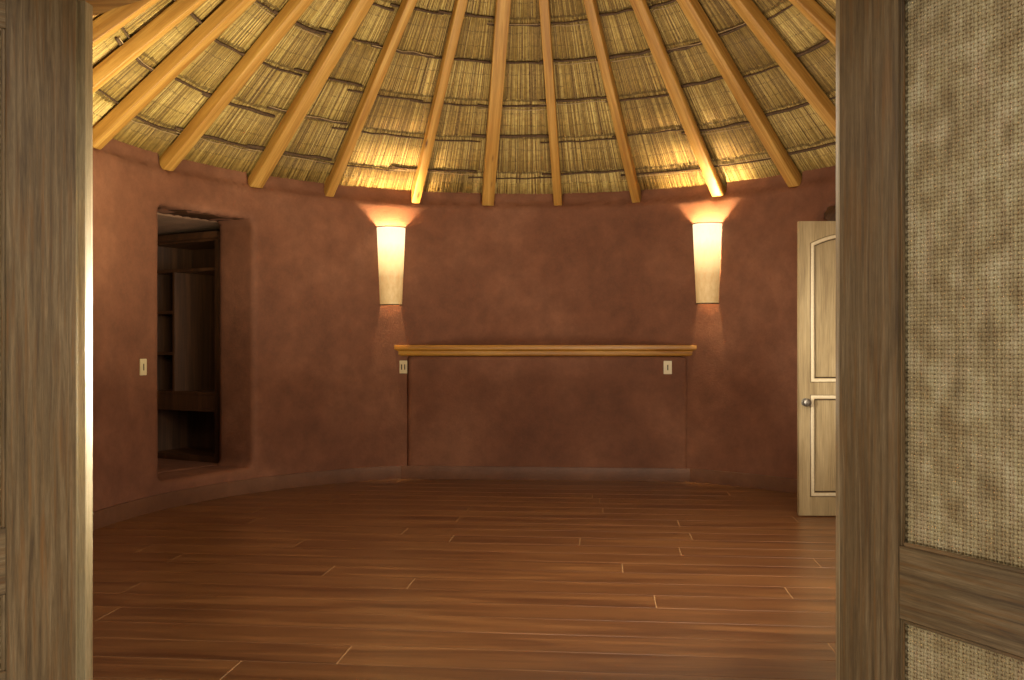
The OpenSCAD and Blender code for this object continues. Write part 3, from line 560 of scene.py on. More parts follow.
adobe = plaster_finish("adobe_plaster", (102, 62, 41), (120, 76, 52), (138, 92, 66))
wall_nodes = ("wall_back_left", "wall_back_centre_left", "wall_back_centre_right", "wall_back_right",
              "wall_right", "wall_front_right", "wall_front_left", "wall_left", "walls_at_openings")
wall_shape = bmesh.new()
for turn in (-SEGMENT_LAP, 0, SEGMENT_LAP):
    for node in wall_nodes:
        known = len(wall_shape.verts)
        wall_shape.from_mesh(cad[node].data)
        wall_shape.verts.ensure_lookup_table()
        bmesh.ops.rotate(wall_shape, matrix=Matrix.Rotation(turn, 3, "Z"), verts=wall_shape.verts[known:])
lintels = merged("lintels")
for solid in list(islands(lintels)):
    if abs(bearing_of(*middle_of(solid).xy) - SIDE_BEARING) < NEAR:
        bmesh.ops.delete(lintels, geom=solid, context="VERTS")
add_part(wall_shape, lintels)
for sink in (0, FILLING_SINK):
    filling = merged("beam_filling")
    bmesh.ops.translate(filling, vec=(0, 0, -sink), verts=filling.verts)
    add_part(wall_shape, filling)
bmesh.ops.remove_doubles(wall_shape, verts=wall_shape.verts, dist=1e-5)
stand_in(plastered("plastered_wall", wall_shape, adobe, 0.04, 0.004),
         "hut", "adobe", "beam_filling", *wall_nodes)

# Closet bay: its walls and floor are the same plaster over adobe, its falling roof a paler clay.
# The knee wall behind the bed's place is plaster too, flat, with a waxed pine ledge on top that is
# cut to the round wall.
roof_clay = plaster_finish("roof_clay", (118, 88, 66), (134, 102, 78), (150, 118, 92), 0.9)
for name, node, material, voxel, unevenness, spread in (
    ("closet_wall_plaster", "closet_walls", adobe, 0.045, 0.004, 3),
    ("closet_floor_plaster", "closet_floor", adobe, 0.03, 0.001, 3),
    ("closet_roof_clay", "closet_roof", roof_clay, 0.025, 0.003, 4),
    ("knee_wall_plaster", "knee_wall", adobe, 0.03, 0.0015, 4),
):
    stand_in(plastered(name, merged(node), material, voxel, unevenness, spread), "hut", "adobe", node)
ledge_pine = wood_finish("waxed_pine", 0.35, (150, 98, 30), (174, 122, 42), (194, 146, 60),
                         figure=(0.8, 14))
ledge = flattened(merged("bed_ledge"), 0.01)
lay_grain(ledge, 0, 3.0)
stand_in(eased(made("ledge_board", ledge, ledge_pine), 0.003, 2, 30, 40), "hut", "waxed_pine", "bed_ledge")

# Skirting: a low painted plinth of plaster round the room, with a worn, rounded top.
skirting_paint = plaster_finish("skirting_paint", (96, 62, 41), (108, 72, 49), (122, 84, 60), 0.5)
skirting = made("skirting_plinth", merged("skirting"), skirting_paint)
stand_in(eased(skirting, 0.006, 3, 50, 40), "hut", "skirting_paint", "skirting")

# Entrance: a frame of pale, bleached hardwood, its head splayed inward, with two leaves of oiled
# hardwood boards round woven cane panels. They stand open, 122 degrees from closed.
oiled_wood = wood_finish("oiled_hardwood", 0.42, (90, 68, 40), (124, 98, 61), (154, 127, 87),
                         figure=(2.4, 60), fibre=(22, 520), streak=(142, 92, 36))
frame_wood = wood_finish("bleached_hardwood", 0.45, (150, 128, 88), (180, 158, 114),
                         (204, 184, 142), figure=(2.0, 50), fibre=(18, 480))
PIN = Vector(next(joint["pos_m"] for joint in frame["joints"] if joint["name"] == "right_door_hinge"))
FRAME_Y = -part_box("entrance_posts")[0].y
LEAF_GAP = 0.006
LEAF_T, LEAF_W = 0.045, PIN.x - LEAF_GAP
STILE_W, RAIL_H, MID_RAIL = 0.217, 0.2, 0.44
LEAF_LOW, LEAF_TOP = (corner.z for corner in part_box("left_leaf"))
LEAF_OPEN = math.radians(122)
LEAVES = ((-1, "left_door", "left_leaf"), (1, "right_door", "right_leaf"))
BEAD, BEAD_IN, BEAD_EASE, RAIL_IN = 0.011, 0.004, 0.0025, 0.0008
HEAD_SPLAY = 0.024
TIMBER_EDGE = 35


def add_timber(shape, low, high, along, rounding=0.002):
    """Adds a planed timber between two corners, its edges eased and its grain running along."""
    part = bmesh.new()
    bmesh.ops.create_cube(part, size=1)
    size = Vector(high) - Vector(low)
    bmesh.ops.scale(part, vec=size, verts=part.verts)
    bmesh.ops.translate(part, vec=(Vector(low) + Vector(high)) / 2, verts=part.verts)
    bmesh.ops.bevel(part, geom=part.edges[:], offset=rounding, segments=2, affect="EDGES")
    lay_grain(part, along, random.uniform(0, 50))
    add_part(shape, part)


def settle_cad(name, node, material, along, slot, rounding=0.002, splay=0.0):
    """A fixed CAD timber, its edges eased and its grain laid, standing for its node. A splay cuts
    the underside back from the leaves' face inward."""
    shape = merged(node)
    if splay:
        low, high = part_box(node)
        stop_y = -FRAME_Y + LEAF_T + LEAF_GAP
        slope = math.atan2(splay, high.y - stop_y)
        cut_away(shape, (0, stop_y, low.z), (0, math.sin(slope), -math.cos(slope)))
    flattened(shape, 0.002)
    lay_grain(shape, along, random.uniform(0, 50))
    obj = eased(made(name, shape, material), rounding, 2, TIMBER_EDGE, TIMBER_EDGE)
    stand_in(obj, "hut", slot, node)


random.seed(11)
settle_cad("entrance_post_boards", "entrance_posts", frame_wood, 2, "door_timber")
settle_cad("entrance_head_beam", "entrance_head", frame_wood, 0, "door_timber", splay=HEAD_SPLAY)
settle_cad("threshold_board", "threshold", oiled_wood, 0, "door_timber")


def leaf_frame_shape():
    """A closed right leaf: two stiles with three rails between them, butted and nearly flush."""
    shape = bmesh.new()
    x1, x2 = LEAF_GAP / 2, LEAF_GAP / 2 + LEAF_W
    y1, y2 = -FRAME_Y, -FRAME_Y + LEAF_T
    for left, right in ((x1, x1 + STILE_W), (x2 - STILE_W, x2)):
        add_timber(shape, (left, y1, LEAF_LOW), (right, y2, LEAF_TOP), 2)
    for low in (LEAF_LOW, FLOOR_Z + MID_RAIL, LEAF_TOP - RAIL_H):
        add_timber(shape, (x1 + STILE_W, y1 + RAIL_IN, low), (x2 - STILE_W, y2 - RAIL_IN, low + RAIL_H), 0)
    return shape


def bead_shape():
    """The thin beads that hold the cane, round both panels and on both faces of a leaf."""
    shape = bmesh.new()
    x1, x2 = LEAF_GAP / 2 + STILE_W, LEAF_GAP / 2 + LEAF_W - STILE_W
    for z1, z2 in PANEL_HEIGHTS:
        for y1 in (-FRAME_Y + BEAD_IN, -FRAME_Y + LEAF_T - BEAD_IN - BEAD):
            y2 = y1 + BEAD
            for x in (x1, x2 - BEAD):
                add_timber(shape, (x, y1, z1), (x + BEAD, y2, z2), 2, BEAD_EASE)
            for z in (z1, z2 - BEAD):
                add_timber(shape, (x1 + BEAD, y1, z), (x2 - BEAD, y2, z + BEAD), 0, BEAD_EASE)
    return shape


PANEL_HEIGHTS = ((LEAF_LOW + RAIL_H, FLOOR_Z + MID_RAIL), (FLOOR_Z + MID_RAIL + RAIL_H, LEAF_TOP - RAIL_H))


def open_leaf(mesh, side):
    """Mirrors a closed right leaf's mesh for the left side, and turns it to where it stands."""
    if side < 0:
        mesh.transform(Matrix.Scale(-1, 4, (1, 0, 0)))
        mesh.flip_normals()
    pin = Matrix.Translation((side * PIN.x, PIN.y, 0))
    mesh.transform(pin @ Matrix.Rotation(side * LEAF_OPEN, 4, "Z") @ pin.inverted())


# Woven cane: a plain weave of split cane, 11 mm from strand to strand, stretched in each panel.
CANE_PITCH = 0.011
CANE_R = 0.0047
CANE_SWAY = 0.0028


def geometry_tree(name, **sizes):
    """An empty geometry tree whose named inputs are its sizes."""
    tree = bpy.data.node_groups.new(name, "GeometryNodeTree")
    tree.interface.new_socket("shape", in_out="OUTPUT", socket_type="NodeSocketGeometry")
    kinds = {int: "NodeSocketInt", float: "NodeSocketFloat", type(None): "NodeSocketMaterial"}
    for title, size in sizes.items():
        socket = tree.interface.new_socket(title, in_out="INPUT", socket_type=kinds[type(size)])
        if size is not None:
            socket.default_value = size
    return tree, tree.nodes.new("NodeGroupInput").outputs, tree.nodes.new("NodeGroupOutput").inputs[0]


def grown(tree, **sizes):
    """Runs a geometry tree at the given sizes and returns its result as a plain mesh."""
    holder = bpy.data.objects.new(tree.name, bpy.data.meshes.new(tree.name))
    bpy.context.collection.objects.link(holder)
    modifier = holder.modifiers.new(tree.name, "NODES")
    modifier.node_group = tree
    for item in tree.interface.items_tree:
        if item.in_out == "INPUT" and item.name in sizes:
            modifier[item.identifier] = sizes[item.name]
    mesh = bpy.data.meshes.new_from_object(holder.evaluated_get(bpy.context.evaluated_depsgraph_get()))
    bpy.data.objects.remove(holder)
    return mesh


def maths(tree, operation, *values):
    """One sum on numbers or fields."""
    return put(tree, "ShaderNodeMath", dict(enumerate(values)), operation=operation).outputs[0]


def with_material(tree, geometry, material, result):
    """Gives a tree's geometry its material, and hands it out."""
    tree.links.new(put(tree, "GeometryNodeSetMaterial", {
        "Geometry": geometry, "Material": material}).outputs[0], result)
    return tree


def chance(tree, low, high, seed, key=None):
    """A random number from low to high for each item, or for each key."""
    sockets = {2: low, 3: high, 8: seed}
    if key is not None:
        sockets[7] = key
    return put(tree, "FunctionNodeRandomValue", sockets, data_type="FLOAT").outputs[1]


def weave_tree():
    """A plain weave in the plane of x and z: strands that pass over and under one another."""
    tree, given, result = geometry_tree(
        "cane_weave", across=1, up=1, pitch=0.01, strand=0.004, sway=0.002, cane=None)
    strand_profile = put(tree, "GeometryNodeCurvePrimitiveCircle", {
        "Resolution": 3, "Radius": given["strand"]})
    both = put(tree, "GeometryNodeJoinGeometry")
    for axis, (count, steps) in enumerate((("across", "up"), ("up", "across"))):
        length = maths(tree, "MULTIPLY", given["pitch"], maths(tree, "SUBTRACT", given[steps], 1.0))
        end = put(tree, "ShaderNodeCombineXYZ", {2 - 2 * axis: length}).outputs[0]
        line = put(tree, "GeometryNodeCurvePrimitiveLine", {"Start": (0, 0, 0), "End": end}).outputs[0]
        line = put(tree, "GeometryNodeResampleCurve", {"Curve": line, "Count": given[steps]}).outputs[0]
        step = put(tree, "ShaderNodeCombineXYZ", {2 * axis: given["pitch"]}).outputs[0]
        row = put(tree, "GeometryNodeMeshLine", {"Count": given[count], "Offset": step}).outputs[0]
        strands = put(tree, "GeometryNodeInstanceOnPoints", {"Points": row, "Instance": line}).outputs[0]
        strands = put(tree, "GeometryNodeRealizeInstances", {"Geometry": strands}).outputs[0]
        place = put(tree, "ShaderNodeSeparateXYZ", {
            0: put(tree, "GeometryNodeInputPosition").outputs[0]}).outputs
        crossing = maths(tree, "DIVIDE", maths(tree, "ADD", place[0], place[2]), given["pitch"])
        odd = maths(tree, "FLOORED_MODULO", maths(tree, "ROUND", crossing), 2.0)
        over = maths(tree, "SUBTRACT", maths(tree, "MULTIPLY", odd, 2.0), 1.0)
        sway = maths(tree, "MULTIPLY", over, maths(tree, "MULTIPLY", given["sway"], 1.0 - 2.0 * axis))
        offset = put(tree, "ShaderNodeCombineXYZ", {1: sway}).outputs[0]
        swayed = put(tree, "GeometryNodeSetPosition", {"Geometry": strands, "Offset": offset}).outputs[0]
        tube = put(tree, "GeometryNodeCurveToMesh", {
            "Curve": swayed, "Profile Curve": strand_profile.outputs[0], "Fill Caps": True}).outputs[0]
        tree.links.new(tube, both.inputs[0])
    smooth = put(tree, "GeometryNodeSetShadeSmooth", {"Geometry": both.outputs[0]}).outputs[0]
    whole = put(tree, "GeometryNodeRealizeInstances", {"Geometry": smooth}).outputs[0]
    return with_material(tree, whole, given["cane"], result)


woven_cane = finish("woven_cane", 0.6)
cane_tree = woven_cane.node_tree
cane_tone = cloud(cane_tree, object_place(cane_tree), 14, 3)
cane_colour = ramp(cane_tree, cane_tone, (0.3, screen(176, 146, 96)), (0.7, screen(222, 198, 148)),
                   (0.5, screen(200, 174, 122)))
cane_bands = cloud(cane_tree, object_place(cane_tree, (9, 9, 1.2)), 4, 4, 0.7)
cane_bands = ramp(cane_tree, cane_bands, (0.36, grey(0.3)), (0.6, grey(0.6)))
coat(woven_cane, blend(cane_tree, 0.4, cane_colour, cane_bands, "OVERLAY"))
cane_weave = weave_tree()
cane_x1 = LEAF_GAP / 2 + STILE_W
cane_w = LEAF_W - 2 * STILE_W
for side, body, title in LEAVES:
    leaf = made(title + "_boards", leaf_frame_shape(), oiled_wood, 35)
    beads = made(title + "_beads", bead_shape(), oiled_wood, 35)
    weaves = bmesh.new()
    for z1, z2 in PANEL_HEIGHTS:
        across = int((cane_w - 2 * CANE_R) / CANE_PITCH) + 1
        up = int((z2 - z1 - 2 * CANE_R) / CANE_PITCH) + 1
        mesh = grown(cane_weave, across=across, up=up, pitch=CANE_PITCH, strand=CANE_R, sway=CANE_SWAY,
                     cane=woven_cane)
        mesh.transform(Matrix.Translation((
            cane_x1 + (cane_w - (across - 1) * CANE_PITCH) / 2, -FRAME_Y + LEAF_T / 2,
            z1 + (z2 - z1 - (up - 1) * CANE_PITCH) / 2)))
        add_mesh(weaves, mesh)
    weave = made(title + "_cane", weaves, woven_cane, 180)
    for obj, slot, node in ((leaf, "door_timber", title), (beads, "door_timber", None),
                            (weave, "woven_cane", title + "_panels")):
        open_leaf(obj.data, side)
        stand_in(obj, body, slot, *([node] if node else []))

# Hinges: satin brass plates and knuckles, screwed on with countersunk screws. The CAD nodes stay,
# and the screws are set into the plates that the open leaves show.
hinge_brass = grainy_finish("satin_brass", 0.38, 90, 4, (168, 150, 112), (214, 198, 158), 0.0003, 0.6, 0.9)
repaint(hinge_brass, "left_leaf_hinges", "right_leaf_hinges", "hinge_pins")
HINGE_HEIGHTS = (FLOOR_Z + 0.19, FLOOR_Z + 0.88, LEAF_TOP - 0.299)
HINGE_PLATE_T = 0.0025
SCREWS, SCREW_R, SCREW_PITCH, SCREW_STAGGER, SCREW_IN = 3, 0.0045, 0.055, 0.008, 0.02


def screw_tree():
    """Countersunk screw heads on a plate in the plane of y and z, staggered from side to side."""
    tree, given, result = geometry_tree(
        "plate_screws", count=3, pitch=0.05, stagger=0.01, head=0.004, metal=None)
    index = put(tree, "GeometryNodeInputIndex").outputs[0]
    side = maths(tree, "SUBTRACT", maths(tree, "MULTIPLY", maths(tree, "MODULO", index, 2.0), 2.0), 1.0)
    place = put(tree, "ShaderNodeCombineXYZ", {
        1: maths(tree, "MULTIPLY", side, given["stagger"]),
        2: maths(tree, "MULTIPLY", index, given["pitch"])}).outputs[0]
    points = put(tree, "GeometryNodePoints", {"Count": given["count"], "Position": place}).outputs[0]
    head = put(tree, "GeometryNodeMeshCone", {
        "Vertices": 16, "Radius Bottom": given["head"],
        "Radius Top": maths(tree, "MULTIPLY", given["head"], 0.8),
        "Depth": maths(tree, "MULTIPLY", given["head"], 0.12)}).outputs[0]
    heads = put(tree, "GeometryNodeInstanceOnPoints", {
        "Points": points, "Instance": head, "Rotation": (0, math.pi / 2, 0)}).outputs[0]
    whole = put(tree, "GeometryNodeRealizeInstances", {"Geometry": heads}).outputs[0]
    return with_material(tree, whole, given["metal"], result)


screw_steel = flat_finish("screw_steel", 0.45, (120, 106, 80), 0.9)
plate_screws = screw_tree()
for side, body, title in LEAVES:
    screws = bmesh.new()
    for height in HINGE_HEIGHTS:
        mesh = grown(plate_screws, count=SCREWS, pitch=SCREW_PITCH, stagger=SCREW_STAGGER, head=SCREW_R,
                     metal=screw_steel)
        mesh.transform(Matrix.Translation((
            LEAF_W + LEAF_GAP / 2 + HINGE_PLATE_T, -FRAME_Y + SCREW_IN, height - SCREW_PITCH)))
        add_mesh(screws, mesh)
    heads = made(title + "_screws", screws, screw_steel, 30)
    open_leaf(heads.data, side)
    stand_in(heads, body, "hinge_metal")

# Side door: a painted panelled leaf, aged, in a dark frame. Each panel has a raised, rounded
# moulding, paler than the leaf on its crown and dark down in the quirks on both of its sides.
SIDE_W, SIDE_H, SIDE_T, SIDE_OPEN = 0.78, 2.05, 0.042, math.radians(68)
SIDE_STILE, SIDE_LOW_RAIL, SIDE_LOW_PANEL, SIDE_MID_RAIL, SIDE_ARCH = 0.08, 0.137, 0.7, 0.095, 0.075
side_joint = next(joint for joint in frame["joints"] if joint["name"] == "side_door_hinge")
SIDE_PIN = Vector(side_joint["pos_m"])
SIDE_GAP, SIDE_POST, SIDE_BACK = 0.006, 0.06, 0.003
SIDE_FACE = math.sqrt(INNER ** 2 - (SIDE_W / 2 + SIDE_GAP + SIDE_POST) ** 2) - SIDE_BACK

dark_wood = wood_finish("dark_hardwood", 0.4, (52, 34, 22), (72, 46, 28), (94, 62, 38),
                        figure=(1.0, 18))
for name, node, along in (("side_door_post_boards", "side_door_posts", 2),
                          ("side_door_head_board", "side_door_head", 0), ("lintel_beams", "lintels", 0)):
    settle_cad(name, node, dark_wood, along, "dark_timber")

aged_paint = wood_finish("aged_paint", 0.5, (132, 112, 78), (154, 134, 96), (174, 154, 115),
                         figure=(1.2, 10), fibre=(4, 180))


def side_leaf_place(mesh):
    """Turns the closed side leaf's own frame, x across and y out, to where the leaf stands."""
    closed = Matrix.Rotation(-SIDE_BEARING, 4, "Z")
    pin = Matrix.Translation(SIDE_PIN)
    mesh.transform(pin @ Matrix.Rotation(SIDE_OPEN, 4, "Z") @ pin.inverted() @ closed)


def sweep(shape, outline, profile):
    """Sweeps a profile of (out, height) round a flat, closed outline of (x, z) points, mitred."""
    count = len(outline)
    rings = []
    for k in range(count):
        here, before, after = outline[k], outline[k - 1], outline[(k + 1) % count]
        into, away = (here - before).normalized(), (after - here).normalized()
        normal = Vector((into.y + away.y, -into.x - away.x)).normalized()
        stretch = 1 / max(0.4, normal.dot(Vector((into.y, -into.x))))
        rings.append([shape.verts.new((
            here.x + normal.x * out * stretch, -height, here.y + normal.y * out * stretch))
            for out, height in profile])
    for k in range(count):
        one, two = rings[k], rings[(k + 1) % count]
        for j in range(len(profile) - 1):
            shape.faces.new((one[j], two[j], two[j + 1], one[j + 1]))


def panel_line(z1, z2, rise):
    """A panel's outline, anticlockwise from the front, with an arched top where rise isn't 0."""
    half = SIDE_W / 2 - SIDE_STILE
    if not rise:
        return [Vector(p) for p in ((-half, z1), (half, z1), (half, z2), (-half, z2))]
    radius = (half ** 2 + rise ** 2) / (2 * rise)
    swing = math.asin(half / radius)
    top = [Vector((radius * math.sin(a), z2 - radius + radius * math.cos(a)))
           for a in (swing - 2 * swing * k / 20 for k in range(21))]
    return [Vector((-half, z1)), Vector((half, z1))] + top


MOULD_W, MOULD_OUT, MOULD_LIP, MOULD_STEPS = 0.034, 0.0095, 0.002, 8
FOOT_GAP = 0.008
LEAF_FOOT = FLOOR_Z + FOOT_GAP
low_panel = (LEAF_FOOT + SIDE_LOW_RAIL, LEAF_FOOT + SIDE_LOW_RAIL + SIDE_LOW_PANEL)
high_panel = (low_panel[1] + SIDE_MID_RAIL, LEAF_FOOT + SIDE_H - SIDE_STILE)
mould_profile = [(0.004, -0.001), (0.004, 0.0025)]
for k in range(MOULD_STEPS):
    swell = math.sin(math.pi * (0.12 + 0.88 * k / MOULD_STEPS)) ** 0.7
    inward = (MOULD_W - MOULD_LIP) * (k / MOULD_STEPS)
    mould_profile.append((MOULD_LIP - inward, MOULD_LIP + MOULD_OUT * swell))
mould_profile.append((-MOULD_W, -0.0105))


def moulding_shape():
    """The mouldings of both faces of the closed side leaf, in its own frame."""
    shape = bmesh.new()
    for panel, rise in ((low_panel, 0), (high_panel, SIDE_ARCH)):
        sweep(shape, panel_line(*panel, rise), mould_profile)
    bmesh.ops.translate(shape, vec=(0, SIDE_FACE, 0), verts=shape.verts)
    back = shape.copy()
    for vert in back.verts:
        vert.co.y = 2 * SIDE_FACE + SIDE_T - vert.co.y
    bmesh.ops.reverse_faces(back, faces=back.faces)
    add_part(shape, back)
    return shape


def moulding_finish():
    """The moulding's paint, by its height alone: pale on its crown, dark down in the quirks."""
    material = finish("moulding_paint", 0.42)
    tree = material.node_tree
    crown = put(tree, "ShaderNodeAttribute", attribute_name="crown").outputs["Fac"]
    # Dark at the foot of the moulding and pale at its crown, set by height alone.
    colour = ramp(tree, crown, (0.0, screen(48, 36, 22)), (1.0, screen(206, 190, 156)),
                  (0.6, screen(66, 50, 32)), (0.85, screen(166, 146, 110)))
    grain = cloud(tree, object_place(tree), 60, 4, 0.6)
    shade = ramp(tree, grain, (0.3, grey(0.4)), (0.7, grey(0.6)))
    coat(material, blend(tree, 0.5, colour, shade, "OVERLAY"), grain, 0.0004)
    return material


leaf_slab = flattened(merged("side_door_leaf"), 0.002)
lay_grain(leaf_slab, 2, 7.0)
side_leaf = made("side_leaf_boards", leaf_slab, aged_paint)
stand_in(side_leaf, "side_door", "aged_paint", "side_door_leaf")
mouldings = moulding_shape()
crown_layer = mouldings.verts.layers.float.new("crown")
for vert in mouldings.verts:
    front, rear = SIDE_FACE - vert.co.y, vert.co.y - SIDE_FACE - SIDE_T
    vert[crown_layer] = min(1.0, max(0.0, max(front, rear) / MOULD_OUT))
side_mouldings = made("side_leaf_mouldings", mouldings, moulding_finish(), 70)
side_leaf_place(side_mouldings.data)
stand_in(side_mouldings, "side_door", "aged_paint")

pewter = grainy_finish("dull_pewter", 0.42, 120, 4, (104, 98, 88), (160, 154, 142), 0.0004, 0.6, 0.85)
repaint(pewter, "side_door_knobs", "side_door_hinges")

# Windows: two-light frames of the entrance's hardwood with clear panes.
random.seed(17)
settle_cad("window_frame_boards", "window_frames", oiled_wood, 2, "door_timber")
pane = finish("clear_pane", 0.03)
pane_shader = pane.node_tree.nodes["Principled BSDF"]
pane_shader.inputs["Base Color"].default_value = (0.86, 0.92, 0.92, 1)
pane_shader.inputs["Transmission Weight"].default_value = 1.0
pane_shader.inputs["IOR"].default_value = 1.45
repaint(pane, "window_glass")

# Shelf unit in the closet bay: dark hardwood boards, a cornice, shelves and a drawer.
settle_cad("closet_unit_boards", "closet_shelves", dark_wood, 2, "dark_timber", rounding=0.0015)

# Wall lights: half cones of parchment on thin dark rims, open above and below, lit from within.
# The glow is bright in the upper half and fades to tan at the foot.
LIGHT_BEARINGS = (math.radians(-30.2), math.radians(29.7))
LIGHT_Z, LIGHT_H, LIGHT_TOP_R, LIGHT_FOOT_R = FLOOR_Z + 1.555, 0.69, 0.13, 0.1
LIGHT_BACK = math.sqrt(INNER ** 2 - LIGHT_TOP_R ** 2) - 0.0003
RIM, RIM_STEPS = 0.004, 24
BULB_IN, BULB_UP = 0.06, 0.56
parchment = finish("parchment", 0.6)
parchment_tree = parchment.node_tree
light_height = put(parchment_tree, "ShaderNodeMapRange", {
    0: put(parchment_tree, "ShaderNodeSeparateXYZ", {0: object_place(parchment_tree)}).outputs[2],
    1: LIGHT_Z, 2: LIGHT_Z + LIGHT_H}).outputs[0]
parchment_blots = cloud(parchment_tree, object_place(parchment_tree, (1, 1, 0.5)), 30, 4, 0.6)
parchment_colour = tones(parchment_tree, parchment_blots, (206, 176, 122), (228, 204, 156))
coat(parchment, parchment_colour, parchment_blots, 0.0006)
parchment_shader = parchment_tree.nodes["Principled BSDF"]
fill(parchment_tree, parchment_shader.inputs["Emission Color"], ramp(
    parchment_tree, light_height, (0.05, screen(104, 80, 46)), (1.0, screen(255, 240, 196)),
    (0.35, screen(140, 108, 66)), (0.62, screen(255, 222, 150)), (0.8, screen(255, 242, 200))))
parchment_shader.inputs["Emission Strength"].default_value = 1.25
repaint(parchment, "wall_lights")
rim_metal = flat_finish("rim_metal", 0.5, (66, 52, 36), 0.6)


def add_tube(shape, rings):
    """Joins rings of corners into a closed tube."""
    sides = len(rings[0])
    for one, two in zip(rings, rings[1:]):
        for j in range(sides):
            shape.faces.new((one[j], one[(j + 1) % sides], two[(j + 1) % sides], two[j]))
    shape.faces.new(rings[0][::-1])
    shape.faces.new(rings[-1])


def rim_shape():
    """The thin rims round the top and the foot of both shades."""
    shape = bmesh.new()
    corners = ((RIM / 2, -RIM), (RIM / 2, RIM), (-RIM, RIM), (-RIM, -RIM))
    for bearing in LIGHT_BEARINGS:
        part = bmesh.new()
        for radius, z in ((LIGHT_FOOT_R, LIGHT_Z), (LIGHT_TOP_R, LIGHT_Z + LIGHT_H)):
            rings = []
            for k in range(RIM_STEPS + 1):
                turn = math.pi * k / RIM_STEPS
                rings.append([part.verts.new((
                    (radius + a) * math.cos(turn), LIGHT_BACK - (radius + a) * math.sin(turn), z + b))
                    for a, b in corners])
            add_tube(part, rings)
        bmesh.ops.recalc_face_normals(part, faces=part.faces)
        turned(part, -bearing)
        add_part(shape, part)
    return shape


stand_in(made("wall_light_rims", rim_shape(), rim_metal, 30), "hut", "parchment")
for bearing in LIGHT_BEARINGS:
    bulb = bpy.data.lights.new("bulb", "POINT")
    bulb.energy = 80
    bulb.color = (1, 0.72, 0.38)
    bulb.shadow_soft_size = 0.03
    lamp = bpy.data.objects.new("bulb", bulb)
    reach = LIGHT_BACK - BULB_IN
    lamp.location = (reach * math.sin(bearing), reach * math.cos(bearing), LIGHT_Z + BULB_UP)
    bpy.context.collection.objects.link(lamp)

# Switch plates: small ivory plates, two on the knee wall and one beside the niche. Each is a
# rounded plate with one or two rockers, painted dark as the shade in their slots.
KNEE_BEARING = math.radians(-1)
KNEE_FACE = INNER * math.cos(math.radians(28.6)) + 0.03
PLATE_W, PLATE_H, PLATE_T = 0.072, 0.116, 0.008
ROCKER_W, ROCKER_H, ROCKER_OUT, ROCKER_IN = 0.01, 0.048, 0.0015, 0.003
ivory = flat_finish("ivory_plate", 0.35, (214, 198, 156))
# Painted shade: the rockers are coloured dark to stand for the shade in the plates' slots.
rocker_painted_shade = flat_finish("slot_shade", 0.6, (60, 46, 30))
plates, rockers = bmesh.new(), bmesh.new()
for bearing, x, face, height, slots in (
        (KNEE_BEARING, -1.26, KNEE_FACE, 1.15, (-0.014, 0.014)), (KNEE_BEARING, 1.09, KNEE_FACE, 1.15, (0,)),
        (math.radians(-79.6), 0, INNER - 0.001, 1.19, (0,))):
    plate, rocker = bmesh.new(), bmesh.new()
    add_timber(plate, (x - PLATE_W / 2, face - PLATE_T, height - PLATE_H / 2),
               (x + PLATE_W / 2, face, height + PLATE_H / 2), 2, 0.0025)
    for slot_x in slots:
        add_timber(
            rocker, (x + slot_x - ROCKER_W / 2, face - PLATE_T - ROCKER_OUT, height - ROCKER_H / 2),
            (x + slot_x + ROCKER_W / 2, face - PLATE_T + ROCKER_IN, height + ROCKER_H / 2), 2, 0.001)
    for whole, part in ((plates, plate), (rockers, rocker)):
        turned(part, -bearing)
        add_part(whole, part)
stand_in(made("switch_plates", plates, ivory, 40), "hut", "parchment")
stand_in(made("switch_rockers", rockers, rocker_painted_shade, 40), "hut", "dark_timber")

# Roof timbers: 24 pine rafters of unlike widths, sawn with a wane along some edges, one left as a
# round pole; they are cut flat on the wall and butt the crown ring. The eaves pieces lie on their
# feet and kick the roof out.
PITCH = math.radians(42)
RAFTER_D, BATTEN_D = 0.085, 0.022
rafter_pine = wood_finish("rafter_pine", 0.5, (150, 104, 42), (178, 132, 60), (206, 164, 88),
                          figure=(0.9, 20), fibre=(5, 330), fibre_weight=0.5, knots=(84, 48, 22))


def lay_roof_grain(shape):
    """The grain map of timbers that run up the slope: u up the slope, v round each timber."""
    grain = shape.loops.layers.uv.new("grain")
    for solid in islands(shape):
        turn = math.atan2(*middle_of(solid).yx)
        start = random.uniform(0, 60)
        inside = set(solid)
        for face in {face for vert in inside for face in vert.link_faces}:
            for loop in face.loops:
                place = loop.vert.co
                out = place.x * math.cos(turn) + place.y * math.sin(turn)
                side = place.y * math.cos(turn) - place.x * math.sin(turn)
                up = place.z * math.cos(PITCH) + out * math.sin(PITCH)
                loop[grain].uv = (out / math.cos(PITCH) + start, side + up + start * 0.37)


random.seed(23)
for name, node in (("rafter_timbers", "rafters"), ("eaves_timbers", "eaves_pieces")):
    timbers = flattened(merged(node), 0.002)
    lay_roof_grain(timbers)
    stand_in(eased(made(name, timbers, rafter_pine), 0.006, 2, 30, 30), "hut", "rafter_pine", node)
settle_cad("crown_ring_timber", "crown_ring", rafter_pine, 2, "rafter_pine", rounding=0.004)
settle_cad("entrance_plate_timber", "entrance_plate", rafter_pine, 0, "rafter_pine", rounding=0.004)

# Battens: crooked brown sticks laid over the rafters from bay to bay, each a little off the line
# of the next, some with a thin pale stick beside them.
BATTEN_R, BATTEN_STEP, BATTEN_ROWS, BATTEN_BENDS = 2.655, 0.28, 8, 6
PALE_SHARE, PALE_ASIDE, PALE_R = 0.45, 0.016, 0.0035
EAVES_PITCH = math.radians(14)
EAVES_D = 0.06
EAVES_R = round(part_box("eaves_pieces")[1].x, 2)
BAYS = 24


def slope_z(radius, depth):
    """The height of the roof's layer at that depth above the rafters' underside."""
    return WALL_TOP + (INNER - radius) * math.tan(PITCH) + depth / math.cos(PITCH)


def kick_z(radius, depth):
    """The same over the eaves pieces."""
    return WALL_TOP + (OUTER - radius) * math.tan(EAVES_PITCH) + depth / math.cos(EAVES_PITCH)


